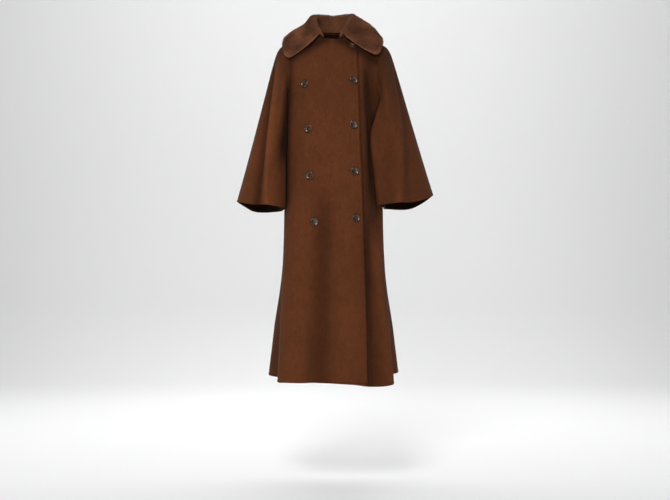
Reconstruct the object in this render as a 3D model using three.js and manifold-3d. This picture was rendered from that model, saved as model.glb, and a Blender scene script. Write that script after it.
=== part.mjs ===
import * as THREE from 'three';
import Module from 'manifold-3d';

// Long double-breasted coat with a broad plush collar and bell sleeves, in its worn shape.
// Millimetres, +Z up, front towards -Y. The origin is where the shoulders carry it, between the neck sides.

// ---- driving sizes ----
const WALL = 3;             // cloth thickness
const GAP = 0.5;            // air between neighbouring pieces
const LAP = WALL + 1.4;     // how far the lapping front stands off the one below it
const ARM_Z = -245;         // bottom of the armholes
const TIP_X = 178;          // shoulder tip
const TIP_Z = -22;
const NECK_X = 72;          // neck side
const NECK_Z = 22;
const NECK_MID = -5;        // middle of the front neckline
const NECK_FRONT_Z = -15;
const NECK_BACK_Z = 34;
const DOME_FRONT = 105;     // height over which the front rounds up to the shoulder seam
const DOME_BACK = 95;
const BUTTON_D = 28;
const BUTTON_T = 4.6;
const SMALL_D = 18;

// Body sections: height, half width at mid depth, how much wider the back is than that, front depth, back depth, squareness
const BODY = [
  // z     half  spread front back  power
  [   60,  196,   0,     92,   82,  2.3 ],
  [  -20,  196,   0,     99,   87,  2.3 ],
  [ -100,  190,   0,    110,   96,  2.35],
  [ -170,  180,   0,    117,  102,  2.4 ],
  [ -245,  173,   0,    120,  106,  2.5 ],
  [ -420,  171,   0,    117,  106,  2.5 ],
  [ -560,  172,   2,    121,  114,  2.6 ],
  [ -707,  175,   5,    127,  128,  2.75],
  [ -790,  180,   9,    130,  138,  2.9 ],
  [ -875,  188,  15,    132,  148,  3.0 ],
  [-1000,  201,  34,    135,  162,  3.1 ],
  [-1085,  208,  41,    138,  172,  3.2 ],
  [-1210,  218,  52,    141,  186,  3.3 ],
];
// Free edges of the two fronts: height, x of the lapping edge, x of the edge beneath
const EDGES = [
  [  -15,   77,  -40],
  [  -60,   80,  -60],
  [ -169,   84,  -78],
  [ -308,   86,  -80],
  [ -466,   94,  -82],
  [ -627,  100,  -86],
  [ -868,  108,  -92],
  [-1190,  113,  -98],
];
// Hem height by x: lapping front, front beneath, back
const HEM_LAP = [[-230, -1176], [-196, -1190], [-150, -1187], [-50, -1184], [40, -1182], [113, -1185]];
const HEM_UNDER = [[-98, -1184], [60, -1190], [146, -1202], [200, -1194], [230, -1178]];
const HEM_BACK = [[-250, -1170], [-215, -1174], [-120, -1182], [0, -1186], [120, -1182], [215, -1174], [250, -1168]];
// Armhole: how far each edge is cut in from the underarm, per side
const ARMHOLE = { left: { front: 22, back: 14 }, right: { front: 22, back: 14 } };
// Cuffs: middle, half width, half depth, height at the outer, front, inner and back points
const CUFF = {
  left: { x: -259, y: -4, rx: 79, ry: 114, outer: -567, front: -586, inner: -598, back: -601 },
  right: { x: 247, y: -26, rx: 100, ry: 104, outer: -545, front: -573, inner: -588, back: -592 },
};
const CAP = { left: 17, right: 16 };  // how far the sleeve head stands out past the straight line to the cuff
// Skirt sides: how far the front corner stands out, the hollow behind it goes in, at the hem, and their depths y and widths
const SKIRT_SIDE = {
  left: { corner: 7, cornerY: -88, cornerW: 34, hollow: -24, hollowY: 2, hollowW: 40 },
  right: { corner: 27, cornerY: -84, cornerW: 38, hollow: -14, hollowY: 22, hollowW: 36 },
};
const SKIRT_FOLD_Z = -700;  // where these folds start
// Ridge down the front of each sleeve: share of the length, how far forwards
const RIDGE = {
  left: [[0, 0], [0.08, 10], [0.25, 16], [0.6, 14], [1, 9]],
  right: [[0, 0], [0.08, 10], [0.25, 16], [0.6, 12], [1, 6]],
};
const RIDGE_AT = { left: 88, right: 102 }, RIDGE_SPAN = 27;
// How far the sleeve's inner front fold reaches over the body: share of the length, inwards, forwards
const REACH = {
  left: [[0, 0, 0], [0.06, 14, 6], [0.15, 20, 8], [0.3, 20, 8], [0.5, 18, 8], [0.75, 19, 8], [1, 20, 8]],
  right: [[0, 0, 0], [0.08, 12, 8], [0.18, 29, 20], [0.34, 42, 30], [0.52, 37, 26], [0.76, 20, 14], [1, 4, 4]],
};
const REACH_AT = 40, REACH_SPAN = 26;   // degrees round from the underarm, and how wide
// Collar, from each front end to the middle of the back: x of the seam, the roll (x y z), the outer edge (x y z), how full the fall is
const COLLAR_LEFT = [
  [-33,  -40, -107,  -2,  -154, -81, -78,  -9],
  [-42,  -48, -101,  11,  -168, -66, -58,   1],
  [-54,  -57,  -84,  31,  -174, -36, -26,   8],
  [-65,  -63,  -54,  53,  -165,  -2,   2,  13],
  [-72,  -64,  -10,  71,  -137,  42,  -8,  21],
  [-57,  -52,   40,  83,  -108,  72, -26,  18],
  [-30,  -29,   66,  88,   -66,  94, -36,  12],
];
const COLLAR_BACK = [0, 0, 76, 88, 0, 102, -40, 9];
const COLLAR_RIGHT = [
  [ 20,   26, -107,  -2,   146, -83, -67,  -9],
  [ 28,   34, -102,  12,   160, -67, -50,   1],
  [ 44,   44,  -84,  35,   168, -34, -20,   9],
  [ 61,   54,  -54,  58,   163,   2,   3,  14],
  [ 71,   58,  -10,  75,   147,  44, -12,  19],
  [ 57,   50,   40,  85,   112,  72, -26,  17],
  [ 30,   29,   66,  89,    68,  94, -36,  12],
];
const ROLL = 15;            // width of the roll at the top of the stand
const PILE_STAND = 6;       // reach of the pile towards the neck
const PILE_FALL = 13;       // reach of the pile on the fall
// Buttons on the lapping front: x, z
const BUTTONS = [[-97, -168], [68, -157], [-85, -322], [68, -308], [-81, -481], [72, -466], [-65, -639], [76, -626]];
const SMALL_BUTTON = [60, -36];

// ---- helpers ----
const mix = (a, b, t) => a + (b - a) * t;
const clamp = (x, a = 0, b = 1) => Math.min(b, Math.max(a, x));
const smooth = (a, b, x) => { const t = clamp((x - a) / (b - a)); return t * t * (3 - 2 * t); };
const V = (x, y, z) => new THREE.Vector3(x, y, z);

// Smooth value of a table column; the first column is the key
function column(table, key, c) {
  const up = table[1][0] > table[0][0] ? 1 : -1;
  const k = (i) => table[i][0] * up;
  const q = clamp(key * up, k(0), k(table.length - 1));
  let i = 0;
  while (i < table.length - 2 && k(i + 1) < q) i++;
  const h = k(i + 1) - k(i);
  const slope = (j) => {
    const a = Math.max(0, j - 1), b = Math.min(table.length - 1, j + 1);
    return (table[b][c] - table[a][c]) / (k(b) - k(a));
  };
  const t = (q - k(i)) / h, t2 = t * t, t3 = t2 * t;
  return (2 * t3 - 3 * t2 + 1) * table[i][c] + (t3 - 2 * t2 + t) * h * slope(i)
    + (3 * t2 - 2 * t3) * table[i + 1][c] + (t3 - t2) * h * slope(i + 1);
}

const section = (z) => ({
  half: column(BODY, z, 1), spread: column(BODY, z, 2), front: column(BODY, z, 3),
  back: column(BODY, z, 4), power: column(BODY, z, 5),
});

const shoulderZ = (x) => Math.abs(x) >= NECK_X
  ? mix(NECK_Z, TIP_Z, (Math.abs(x) - NECK_X) / (TIP_X - NECK_X))
  : NECK_Z + (NECK_X - Math.abs(x)) * 0.9;

function dome(face, x, z) {
  const h = face < 0 ? DOME_FRONT : DOME_BACK;
  const q = clamp((z - shoulderZ(x) + h) / h);
  return Math.sqrt(Math.max(0, 1 - q * q));
}

// Depth of the body surface over (x, z), face -1 front, +1 back
function faceY(face, x, z) {
  const s = section(z);
  const r = Math.pow(Math.max(0, 1 - Math.pow(Math.abs(x) / s.half, s.power)), 1 / s.power);
  return face * (face < 0 ? s.front : s.back) * r * dome(face, x, z);
}

// Half a section as a line with its lengths, from the left side seam over the middle to the right one
const lineCache = new Map();
function sectionLine(face, z) {
  const key = face + ':' + z.toFixed(3);
  if (lineCache.has(key)) return lineCache.get(key);
  const s = section(z), pts = [], N = 60;
  for (let i = 0; i <= 2 * N; i++) {
    const side = i <= N ? -1 : 1;
    const a = (i <= N ? i / N : (2 * N - i) / N) * Math.PI / 2;
    const d = face * Math.pow(Math.sin(a), 2 / s.power);
    const w = Math.pow(Math.max(0, Math.cos(a)), 2 / s.power);
    pts.push([side * (s.half + s.spread * d) * w, d * (face < 0 ? s.front : s.back)]);
  }
  const len = [0];
  for (let i = 1; i < pts.length; i++) len.push(len[i - 1] + Math.hypot(pts[i][0] - pts[i - 1][0], pts[i][1] - pts[i - 1][1]));
  const line = { pts, len, total: len[len.length - 1] };
  lineCache.set(key, line);
  return line;
}
function lineAt(line, l) {
  const q = clamp(l, 0, line.total);
  let i = 1;
  while (i < line.len.length - 1 && line.len[i] < q) i++;
  const t = (q - line.len[i - 1]) / Math.max(1e-9, line.len[i] - line.len[i - 1]);
  return [mix(line.pts[i - 1][0], line.pts[i][0], t), mix(line.pts[i - 1][1], line.pts[i][1], t)];
}
function lengthAtX(line, x) {
  for (let i = 1; i < line.pts.length; i++) {
    if (line.pts[i][0] >= x) {
      const t = (x - line.pts[i - 1][0]) / Math.max(1e-9, line.pts[i][0] - line.pts[i - 1][0]);
      return mix(line.len[i - 1], line.len[i], clamp(t));
    }
  }
  return line.total;
}

// Neckline heights over x
const neckFrontZ = (x) => mix(NECK_FRONT_Z, NECK_Z,
  Math.pow(Math.min(1, Math.abs(x - NECK_MID) / (NECK_X - Math.sign(x - NECK_MID) * NECK_MID)), 2.5));
const neckBackZ = (x) => mix(NECK_BACK_Z, NECK_Z, Math.pow(Math.min(1, Math.abs(x) / NECK_X), 2));

// Armhole x at angle phi, 0 at the underarm and PI at the shoulder tip
function armX(side, face, phi) {
  const cut = ARMHOLE[side][face < 0 ? 'front' : 'back'];
  const low = section(ARM_Z).half, s = Math.sin(phi);
  return phi < Math.PI / 2 ? low - cut * Math.pow(s, 2.5) : mix(low - cut, TIP_X, 1 - s);
}

// ---- closed shells from grids ----
// grid[i][j] is a point; far and near give the two surfaces as distances along the normal
function gridNormals(grid, ring, fix) {
  const n = grid.length, m = grid[0].length, out = [];
  for (let i = 0; i < n; i++) {
    out.push([]);
    for (let j = 0; j < m; j++) {
      const a = ring ? grid[(i + 1) % n][j] : grid[Math.min(n - 1, i + 1)][j];
      const b = ring ? grid[(i - 1 + n) % n][j] : grid[Math.max(0, i - 1)][j];
      const c = grid[i][Math.min(m - 1, j + 1)], d = grid[i][Math.max(0, j - 1)];
      const v = new THREE.Vector3().crossVectors(a.clone().sub(b), c.clone().sub(d)).normalize();
      if (fix) fix(i, j, v, grid[i][j]);
      out[i].push(v.normalize());
    }
  }
  return out;
}
function shell(grid, normals, far, near, ring) {
  const n = grid.length, m = grid[0].length, pos = [], idx = [];
  const put = (f) => {
    for (let i = 0; i < n; i++) for (let j = 0; j < m; j++) {
      const p = grid[i][j].clone().addScaledVector(normals[i][j], f(i, j));
      pos.push(p.x, p.y, p.z);
    }
  };
  put(far); put(near);
  const F = (i, j) => (i % n) * m + j, N = (i, j) => n * m + (i % n) * m + j;
  const quad = (a, b, c, d) => idx.push(a, b, c, a, c, d);
  const last = ring ? n : n - 1;
  for (let i = 0; i < last; i++) {
    for (let j = 0; j < m - 1; j++) {
      quad(F(i, j), F(i + 1, j), F(i + 1, j + 1), F(i, j + 1));
      quad(N(i, j), N(i, j + 1), N(i + 1, j + 1), N(i + 1, j));
    }
    quad(F(i, 0), N(i, 0), N(i + 1, 0), F(i + 1, 0));
    quad(F(i, m - 1), F(i + 1, m - 1), N(i + 1, m - 1), N(i, m - 1));
  }
  if (!ring) for (let j = 0; j < m - 1; j++) {
    quad(F(0, j), F(0, j + 1), N(0, j + 1), N(0, j));
    quad(F(n - 1, j), N(n - 1, j), N(n - 1, j + 1), F(n - 1, j + 1));
  }
  let vol = 0;
  const at = (k) => V(pos[3 * k], pos[3 * k + 1], pos[3 * k + 2]);
  for (let k = 0; k < idx.length; k += 3) vol += at(idx[k]).dot(at(idx[k + 1]).cross(at(idx[k + 2])));
  if (vol < 0) for (let k = 0; k < idx.length; k += 3) [idx[k + 1], idx[k + 2]] = [idx[k + 2], idx[k + 1]];
  const g = new THREE.BufferGeometry();
  g.setAttribute('position', new THREE.BufferAttribute(new Float32Array(pos), 3));
  g.setIndex(idx);
  return g;
}

// Sideways shift of the skirt's sides
function skirtSide(p) {
  const sign = p.x < 0 ? -1 : 1, s = SKIRT_SIDE[p.x < 0 ? 'left' : 'right'];
  const k = smooth(SKIRT_FOLD_Z, -1190, p.z) * smooth(80, 165, Math.abs(p.x));
  const bell = (h, at, w) => h * Math.exp(-Math.pow((p.y - at) / w, 2));
  return sign * k * (bell(s.corner, s.cornerY, s.cornerW) + bell(s.hollow, s.hollowY, s.hollowW));
}

// ---- body panels ----
const ROWS_LOW = 11, ROWS_UP = 10;
// columns: number of strips; low(z, u) gives [x, y] under the armhole, top(u) gives [x, z] on the upper edge,
// edge[0] and edge[1] say which sides end at an armhole: [side, 0 or 1 for u]
function panel(face, cols, low, top, hem, arms, lift) {
  const grid = [];
  for (let i = 0; i <= cols; i++) {
    const u = i / cols, line = [];
    const [tx, tz] = top(u);
    for (let j = 0; j < ROWS_LOW; j++) {
      const t = j / ROWS_LOW;
      const z0 = hem(low(-1180, u)[0]);
      const z = mix(z0, ARM_Z, t);
      const [x, y] = low(z, u);
      line.push(V(x, y, z));
    }
    const [lx] = low(ARM_Z, u);
    for (let j = 0; j <= ROWS_UP; j++) {
      const phi = Math.PI * j / ROWS_UP, v = (1 - Math.cos(phi)) / 2;
      let x = mix(lx, tx, v);
      for (const [side, end] of arms) {
        const w = Math.pow(clamp(1 - Math.abs(u - end) / 0.45), 2);
        const sign = side === 'left' ? -1 : 1;
        x += w * sign * (armX(side, face, phi) - mix(section(ARM_Z).half, TIP_X, v));
      }
      const z = mix(ARM_Z, tz, v);
      line.push(V(x, j === 0 ? low(ARM_Z, u)[1] : faceY(face, x, z), z));
    }
    grid.push(line);
  }
  if (lift) {
    const normals = gridNormals(grid, false);
    const sign = normals[cols >> 1][4].y * face < 0 ? -1 : 1;
    grid.forEach((line, i) => line.forEach((p, j) => p.addScaledVector(normals[i][j], sign * lift(p.x, p.z))));
  }
  grid.forEach((line) => line.forEach((p) => { p.x += skirtSide(p); }));
  return grid;
}
// Keeps the seams apart: side and shoulder ends are drawn back by half the gap, and their ends stay square
function panelShell(face, grid, sideEnds) {
  const n = grid.length, m = grid[0].length;
  const fix = (i, j, v, p) => {
    const side = sideEnds.some((e) => (e ? i === n - 1 : i === 0)) && j <= ROWS_LOW;
    const shoulder = j === m - 1 && Math.abs(p.x) > NECK_X - 0.5;
    if (side || shoulder) v.y = 0;
  };
  const normals = gridNormals(grid, false, fix);
  const sign = normals[n >> 1][4].y * face > 0 ? 1 : -1;
  normals.forEach((l) => l.forEach((v) => v.multiplyScalar(sign)));
  grid.forEach((line, i) => line.forEach((p, j) => {
    if (p.y * face < GAP / 2) p.y = face * GAP / 2;
  }));
  return { grid, normals };
}

// Lapping front: from the left side seam to the free edge
const frontLow = (z, u) => {
  const line = sectionLine(-1, z);
  return lineAt(line, lengthAtX(line, column(EDGES, z, 1)) * u);
};
const topPath = (pts) => (u) => {
  for (let i = 1; i < pts.length; i++) if (u <= pts[i].u + 1e-9) {
    const a = pts[i - 1], b = pts[i], t = (u - a.u) / (b.u - a.u), x = mix(a.x, b.x, t);
    return [x, b.z(x)];
  }
};
const lapTop = topPath([
  { u: 0, x: -TIP_X }, { u: 6 / 17, x: -NECK_X, z: shoulderZ },
  { u: 11 / 17, x: NECK_MID, z: neckFrontZ }, { u: 1, x: 77, z: (x) => mix(NECK_FRONT_Z, -27, (x - NECK_MID) / 82) },
]);
const lift = (x, z) => { const e = column(EDGES, z, 2); return LAP * smooth(e - 34, e - 8, x); };
const lap = panelShell(-1, panel(-1, 17, frontLow, lapTop, (x) => column(HEM_LAP, x, 1), [['left', 0]], lift), [0]);

// Front beneath: from the right side seam to its hidden edge
const underLow = (z, u) => {
  const line = sectionLine(-1, z);
  return lineAt(line, mix(line.total, lengthAtX(line, column(EDGES, z, 2)), u));
};
const underTop = topPath([
  { u: 0, x: TIP_X }, { u: 6 / 15, x: NECK_X, z: shoulderZ }, { u: 1, x: -40, z: neckFrontZ },
]);
const under = panelShell(-1, panel(-1, 15, underLow, underTop, (x) => column(HEM_UNDER, x, 1), [['right', 0]]), [0]);

// Back: from side seam to side seam
const backLow = (z, u) => { const line = sectionLine(1, z); return lineAt(line, line.total * u); };
const backTop = topPath([
  { u: 0, x: -TIP_X }, { u: 6 / 20, x: -NECK_X, z: shoulderZ }, { u: 14 / 20, x: NECK_X, z: neckBackZ },
  { u: 1, x: TIP_X, z: shoulderZ },
]);
const back = panelShell(1, panel(1, 20, backLow, backTop, (x) => column(HEM_BACK, x, 1), [['left', 0], ['right', 1]]), [0, 1]);

// ---- sleeves ----
const SEAM_OFF = 1.1;       // from the armhole's rim to the sleeve's
const AROUND = 2 * ROWS_UP;   // so that the sleeve's first ring meets the armhole point for point
const SLEEVE_ROWS = [0, 0.025, 0.07, 0.13, 0.21, 0.32, 0.45, 0.58, 0.72, 0.86, 1];
// Moves a point out of the body by at least the clearance, straight away from the middle of its section
function clearOfBody(p, by) {
  if (p.z > ARM_Z + 115) return;
  const s = section(p.z), depth = (p.y < 0 ? s.front : s.back);
  const d = clamp(p.y / depth, -1, 1);
  const A = s.half + s.spread * d + by, B = depth + by;
  const f = Math.pow(Math.abs(p.x) / A, s.power) + Math.pow(Math.abs(p.y) / B, s.power);
  if (f < 1) { const k = Math.pow(f, -1 / s.power); p.x *= k; p.y *= k; }
}
function sleeve(side, front, rear, column0) {
  const sign = side === 'left' ? -1 : 1, c = CUFF[side], grid = [], seam = [];
  for (let i = 0; i < AROUND; i++) {
    const a = 2 * Math.PI * i / AROUND;            // 0 underarm, PI shoulder; the front half comes first
    const face = a <= Math.PI ? -1 : 1, j = i <= ROWS_UP ? i : AROUND - i, phi = Math.PI * j / ROWS_UP;
    const own = face < 0 ? front.grid[0] : rear.grid[column0];
    const ownN = face < 0 ? front.normals[0] : rear.normals[column0];
    const start = own[ROWS_LOW + j].clone(), n = ownN[ROWS_LOW + j].clone();
    if (j === 0 || j === ROWS_UP) { start.y = 0; n.y = 0; n.normalize(); }
    const s = Math.sin(a), k = Math.cos(a);
    const end = V(c.x - sign * k * c.rx, c.y - s * c.ry,
      s * s * (s > 0 ? c.front : c.back) + k * k * (k < 0 ? c.outer : c.inner));
    // the first ring stands off the armhole: away from the opening's rim, and a little outwards
    start.x += sign * SEAM_OFF * (1 - 0.4 * Math.sin(phi));
    start.addScaledVector(n, 0.5);
    start.z += SEAM_OFF * 0.5 * (1 + Math.cos(phi)) / 2;
    const line = SLEEVE_ROWS.map((t) => {
      const p = start.clone().lerp(end, t);
      const out = CAP[side] * (1 - Math.exp(-t / 0.035)) * Math.pow(1 - t, 1.3) * Math.pow(Math.max(0, -k), 1.2);
      p.x += sign * (out + 9 * Math.sin(phi) * (1 - Math.exp(-t / 0.02)) * Math.exp(-t / 0.25));
      p.z += 0.35 * out * (1 - t) * Math.exp(-t / 0.08);
      const w = Math.exp(-Math.pow((a * 180 / Math.PI - REACH_AT) / REACH_SPAN, 2));
      p.x -= sign * w * column(REACH[side], t, 1);
      p.y -= w * column(REACH[side], t, 2);
      p.y -= Math.exp(-Math.pow((a * 180 / Math.PI - RIDGE_AT[side]) / RIDGE_SPAN, 2)) * column(RIDGE[side], t, 1);
      if (t > 0) clearOfBody(p, 1.1 + 4 * smooth(0, 0.18, t));
      return p;
    });
    grid.push(line);
    seam.push({ n, w: smooth(0.1, 0.55, phi / Math.PI) });
  }
  const outward = () => {
    const normals = gridNormals(grid, true);
    const turn = normals[AROUND / 2][5].x * sign > 0 ? 1 : -1;
    normals.forEach((l) => l.forEach((v) => v.multiplyScalar(turn)));
    return normals;
  };
  // the inside of the wall keeps clear of the body too
  outward().forEach((l, i) => l.forEach((n, j) => {
    if (j === 0) return;
    const inside = grid[i][j].clone().addScaledVector(n, -WALL), q = inside.clone();
    clearOfBody(q, 1 + 1.8 * smooth(0, 0.1, SLEEVE_ROWS[j]));
    grid[i][j].add(q.sub(inside));
  }));
  const normals = outward();
  // the first ring's end lies along the panel's own edge, except at the underarm
  normals.forEach((l, i) => l[0].multiplyScalar(1 - seam[i].w).addScaledVector(seam[i].n, seam[i].w).normalize());
  return { grid, normals };
}

// ---- collar ----
// Rows of [seam, roll, edge] around the neck, as smooth lines through the table
function collarRows(count) {
  const rows = [...COLLAR_LEFT, COLLAR_BACK, ...COLLAR_RIGHT.slice().reverse()];
  const pick = (c) => new THREE.CatmullRomCurve3(rows.map((r) => V(r[c], r[c + 1], r[c + 2])), false, 'centripetal');
  const seamX = rows.map((r, i) => [i, r[0]]), full = rows.map((r, i) => [i, r[7]]);
  const roll = pick(1), edge = pick(4), out = [];
  for (let i = 0; i <= count; i++) {
    const s = i / count, x = column(seamX, s * (rows.length - 1), 1);
    const zf = neckFrontZ(x), zb = neckBackZ(x);
    const w = smooth(3.2 / 14, 4.6 / 14, s) * (1 - smooth(9.4 / 14, 10.8 / 14, s));
    const z = mix(zf, zb, w);
    const yf = faceY(-1, x, zf), yb = faceY(1, x, zb);
    const a = V(x, mix(yf, yb, w), z + 5);
    out.push({ a, r: roll.getPoint(s), e: edge.getPoint(s), full: column(full, s * (rows.length - 1), 1) });
  }
  return out;
}
const COLLAR_COLS = 26;
const FALL_STEPS = 6;
function collarGrid() {
  return collarRows(COLLAR_COLS).map(({ a, r, e, full }) => {
    const out = V(e.x - r.x, e.y - r.y, 0).normalize();
    const r2 = r.clone().addScaledVector(out, ROLL);
    const line = [a.clone(), a.clone().lerp(r, 0.5)];
    const top = r.clone().add(r2).multiplyScalar(0.5);
    top.z += ROLL * 0.42;
    line.push(r.clone(), top, r2.clone());
    for (let k = 1; k <= FALL_STEPS; k++) {
      const t = k / FALL_STEPS, p = r2.clone().lerp(e, t);
      const bulge = full * Math.sin(Math.PI * t);
      p.addScaledVector(out, Math.max(0, bulge) * 0.6);
      p.z += bulge * 0.6;
      line.push(p);
    }
    return line;
  });
}
function collar() {
  const grid = collarGrid(), normals = gridNormals(grid, false);
  const mid = normals[COLLAR_COLS >> 1][7];
  if (mid.y < 0) normals.forEach((l) => l.forEach((v) => v.negate()));
  return { grid, normals };
}
const neck = collar();
const lastJ = neck.grid[0].length - 1;
function pile(i, j) {
  const n = COLLAR_COLS, ends = Math.sin(Math.PI / 2 * clamp(Math.min(i, n - i) / 1.5));
  const along = mix(PILE_STAND, PILE_FALL, smooth(1, 4, j)) * (0.55 + 0.45 * Math.sin(Math.PI / 2 * clamp((lastJ - j) / 1.5)));
  return 0.4 + Math.max(2.2, along * (0.55 + 0.45 * ends));
}

// ---- buttons ----
const wasm = await Module();
wasm.setup();
function toManifold(g) {
  const pos = g.attributes.position, idx = g.index;
  const keys = new Map(), vert = [], tri = [];
  for (let i = 0; i < idx.count; i++) {
    const k = idx.getX(i), p = [pos.getX(k), pos.getY(k), pos.getZ(k)];
    const key = p.map((v) => Math.round(v * 1e4)).join(',');
    if (!keys.has(key)) { keys.set(key, vert.length / 3); vert.push(...p); }
    tri.push(keys.get(key));
  }
  const clean = [];
  for (let i = 0; i < tri.length; i += 3)
    if (tri[i] !== tri[i + 1] && tri[i + 1] !== tri[i + 2] && tri[i] !== tri[i + 2]) clean.push(tri[i], tri[i + 1], tri[i + 2]);
  return new wasm.Manifold(new wasm.Mesh({ numProp: 3, vertProperties: new Float32Array(vert), triVerts: new Uint32Array(clean) }));
}
function fromManifold(m) {
  const mesh = m.getMesh(), g = new THREE.BufferGeometry();
  g.setAttribute('position', new THREE.BufferAttribute(new Float32Array(mesh.vertProperties), 3));
  g.setIndex(Array.from(mesh.triVerts));
  return g;
}
// Button turned about its own axis (local +Y outwards), a raised rim round a dish with four holes
function buttonGeometry(d, t, holes) {
  const r = d / 2;
  const profile = [[0, 0], [r * 0.74, 0], [r, t * 0.5], [r * 0.96, t * 0.92], [r * 0.84, t], [r * 0.64, t * 0.62], [0, t * 0.56]].map(([x, y]) => new THREE.Vector2(x, y));
  let body = toManifold(new THREE.LatheGeometry(profile, 18));
  for (let k = 0; k < holes; k++) {
    const a = Math.PI / 4 + k * Math.PI / 2;
    const h = new THREE.CylinderGeometry(d * 0.042, d * 0.042, 3 * t, 6);
    h.translate(Math.cos(a) * d * 0.105, t / 2, Math.sin(a) * d * 0.105);
    body = body.subtract(toManifold(h));
  }
  return fromManifold(body);
}
// Outer surface of the lapping front at (x, z), with its normal
function lapPoint(x, z) {
  const y = (px, pz) => faceY(-1, px, pz) - lift(px, pz);
  const n = V((y(x + 3, z) - y(x - 3, z)) / 6, -1, (y(x, z + 3) - y(x, z - 3)) / 6).normalize();
  return { p: V(x, y(x, z), z), n };
}
function placeButton(g, x, z, stand) {
  const { p, n } = lapPoint(x, z);
  const m = new THREE.Matrix4().makeRotationFromQuaternion(new THREE.Quaternion().setFromUnitVectors(V(0, 1, 0), n));
  g.applyMatrix4(m);
  g.translate(p.x + n.x * stand, p.y + n.y * stand, p.z + n.z * stand);
  return g;
}

// ---- the object ----
const coat = new THREE.Group();
coat.name = 'coat';
const wool = () => new THREE.MeshStandardMaterial({ color: 0x5a321e, roughness: 0.95, metalness: 0 });
const plush = () => new THREE.MeshStandardMaterial({ color: 0x64402a, roughness: 1, metalness: 0 });
const horn = () => new THREE.MeshStandardMaterial({ color: 0x1c1310, roughness: 0.25, metalness: 0 });
function add(name, geometry, material) {
  const mesh = new THREE.Mesh(geometry, material);
  mesh.name = name;
  coat.add(mesh);
}
const flat = () => 0, inner = () => -WALL;
add('back_panel', shell(back.grid, back.normals, flat, inner, false), wool());
add('right_front', shell(lap.grid, lap.normals, flat, inner, false), wool());
add('left_front', shell(under.grid, under.normals, flat, inner, false), wool());
for (const [side, name, front, column0] of [['left', 'right_sleeve', lap, 0], ['right', 'left_sleeve', under, 20]]) {
  const s = sleeve(side, front, back, column0);
  add(name, shell(s.grid, s.normals, flat, inner, true), wool());
}
add('under_collar', shell(neck.grid, neck.normals, flat, inner, false), wool());
add('fur_collar', shell(neck.grid, neck.normals, pile, () => 0.4, false), plush());
BUTTONS.forEach(([x, z], i) => {
  const name = `button_${i % 2 ? 'left' : 'right'}_${1 + (i >> 1)}`;
  add(name, placeButton(buttonGeometry(BUTTON_D, BUTTON_T, 4), x, z, 0.9), horn());
});
add('button_neck', placeButton(buttonGeometry(SMALL_D, 3.6, 4), SMALL_BUTTON[0], SMALL_BUTTON[1], 0.9), horn());

export default coat;
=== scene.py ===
import math

import bpy
import numpy as np
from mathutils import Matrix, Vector


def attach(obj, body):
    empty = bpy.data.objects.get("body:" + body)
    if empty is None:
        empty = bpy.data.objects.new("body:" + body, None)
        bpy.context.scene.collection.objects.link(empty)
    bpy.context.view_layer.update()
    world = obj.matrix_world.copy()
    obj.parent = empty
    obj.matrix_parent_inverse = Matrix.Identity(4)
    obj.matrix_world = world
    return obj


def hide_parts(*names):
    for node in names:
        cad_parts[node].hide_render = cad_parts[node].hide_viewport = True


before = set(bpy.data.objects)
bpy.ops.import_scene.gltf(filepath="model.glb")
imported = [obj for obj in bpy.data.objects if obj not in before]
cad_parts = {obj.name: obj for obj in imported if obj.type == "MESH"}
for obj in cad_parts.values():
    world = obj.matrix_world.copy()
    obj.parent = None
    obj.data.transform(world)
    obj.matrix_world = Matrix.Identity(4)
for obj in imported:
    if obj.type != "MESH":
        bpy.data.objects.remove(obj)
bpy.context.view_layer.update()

rng = np.random.default_rng(20)

# ---------------------------------------------------------------- sizes, in millimetres
WALL = 2.8
LAP = 4.4
ARM_Z, TIP_X, TIP_Z = -245.0, 178.0, -22.0
NECK_X, NECK_Z, NECK_MID, NECK_FRONT_Z, NECK_BACK_Z = 72.0, 22.0, -5.0, -15.0, 34.0
DOME_FRONT, DOME_BACK = 105.0, 95.0
# height, half width at mid depth, how much wider the back is than that, front depth, back depth, squareness
BODY = [
    [60, 196, 0, 92, 82, 2.3],
    [-20, 196, 0, 99, 87, 2.3],
    [-100, 190, 0, 110, 96, 2.35],
    [-170, 180, 0, 117, 102, 2.4],
    [-245, 173, 0, 120, 106, 2.5],
    [-420, 171, 0, 117, 106, 2.5],
    [-560, 172, 2, 121, 114, 2.6],
    [-707, 175, 5, 127, 128, 2.75],
    [-790, 180, 9, 130, 138, 2.9],
    [-875, 188, 15, 132, 148, 3.0],
    [-1000, 201, 34, 135, 162, 3.1],
    [-1085, 208, 41, 138, 172, 3.2],
    [-1210, 218, 52, 141, 186, 3.3],
]
# height, x of the lapping edge, x of the edge beneath
EDGES = [
    [-15, 77, -40],
    [-60, 80, -60],
    [-169, 84, -78],
    [-308, 86, -80],
    [-466, 94, -82],
    [-627, 100, -86],
    [-868, 108, -92],
    [-1190, 113, -98],
]
HEM_LAP = [[-230, -1176], [-196, -1190], [-150, -1187], [-50, -1184], [40, -1182], [113, -1185]]
HEM_UNDER = [[-98, -1184], [60, -1190], [146, -1201], [200, -1187], [230, -1172]]
HEM_BACK = [[-250, -1179], [-215, -1181], [-120, -1182], [0, -1186], [120, -1182], [215, -1174], [250, -1168]]
ARM_CUT = {-1: 22.0, 1: 14.0}
CUFF = {
    -1: dict(x=-259, y=-4, rx=79, ry=114, outer=-567, front=-579, inner=-598, back=-601),
    1: dict(x=247, y=-26, rx=100, ry=104, outer=-545, front=-573, inner=-588, back=-592),
}
CAP = {-1: 17.0, 1: 16.0}
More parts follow.
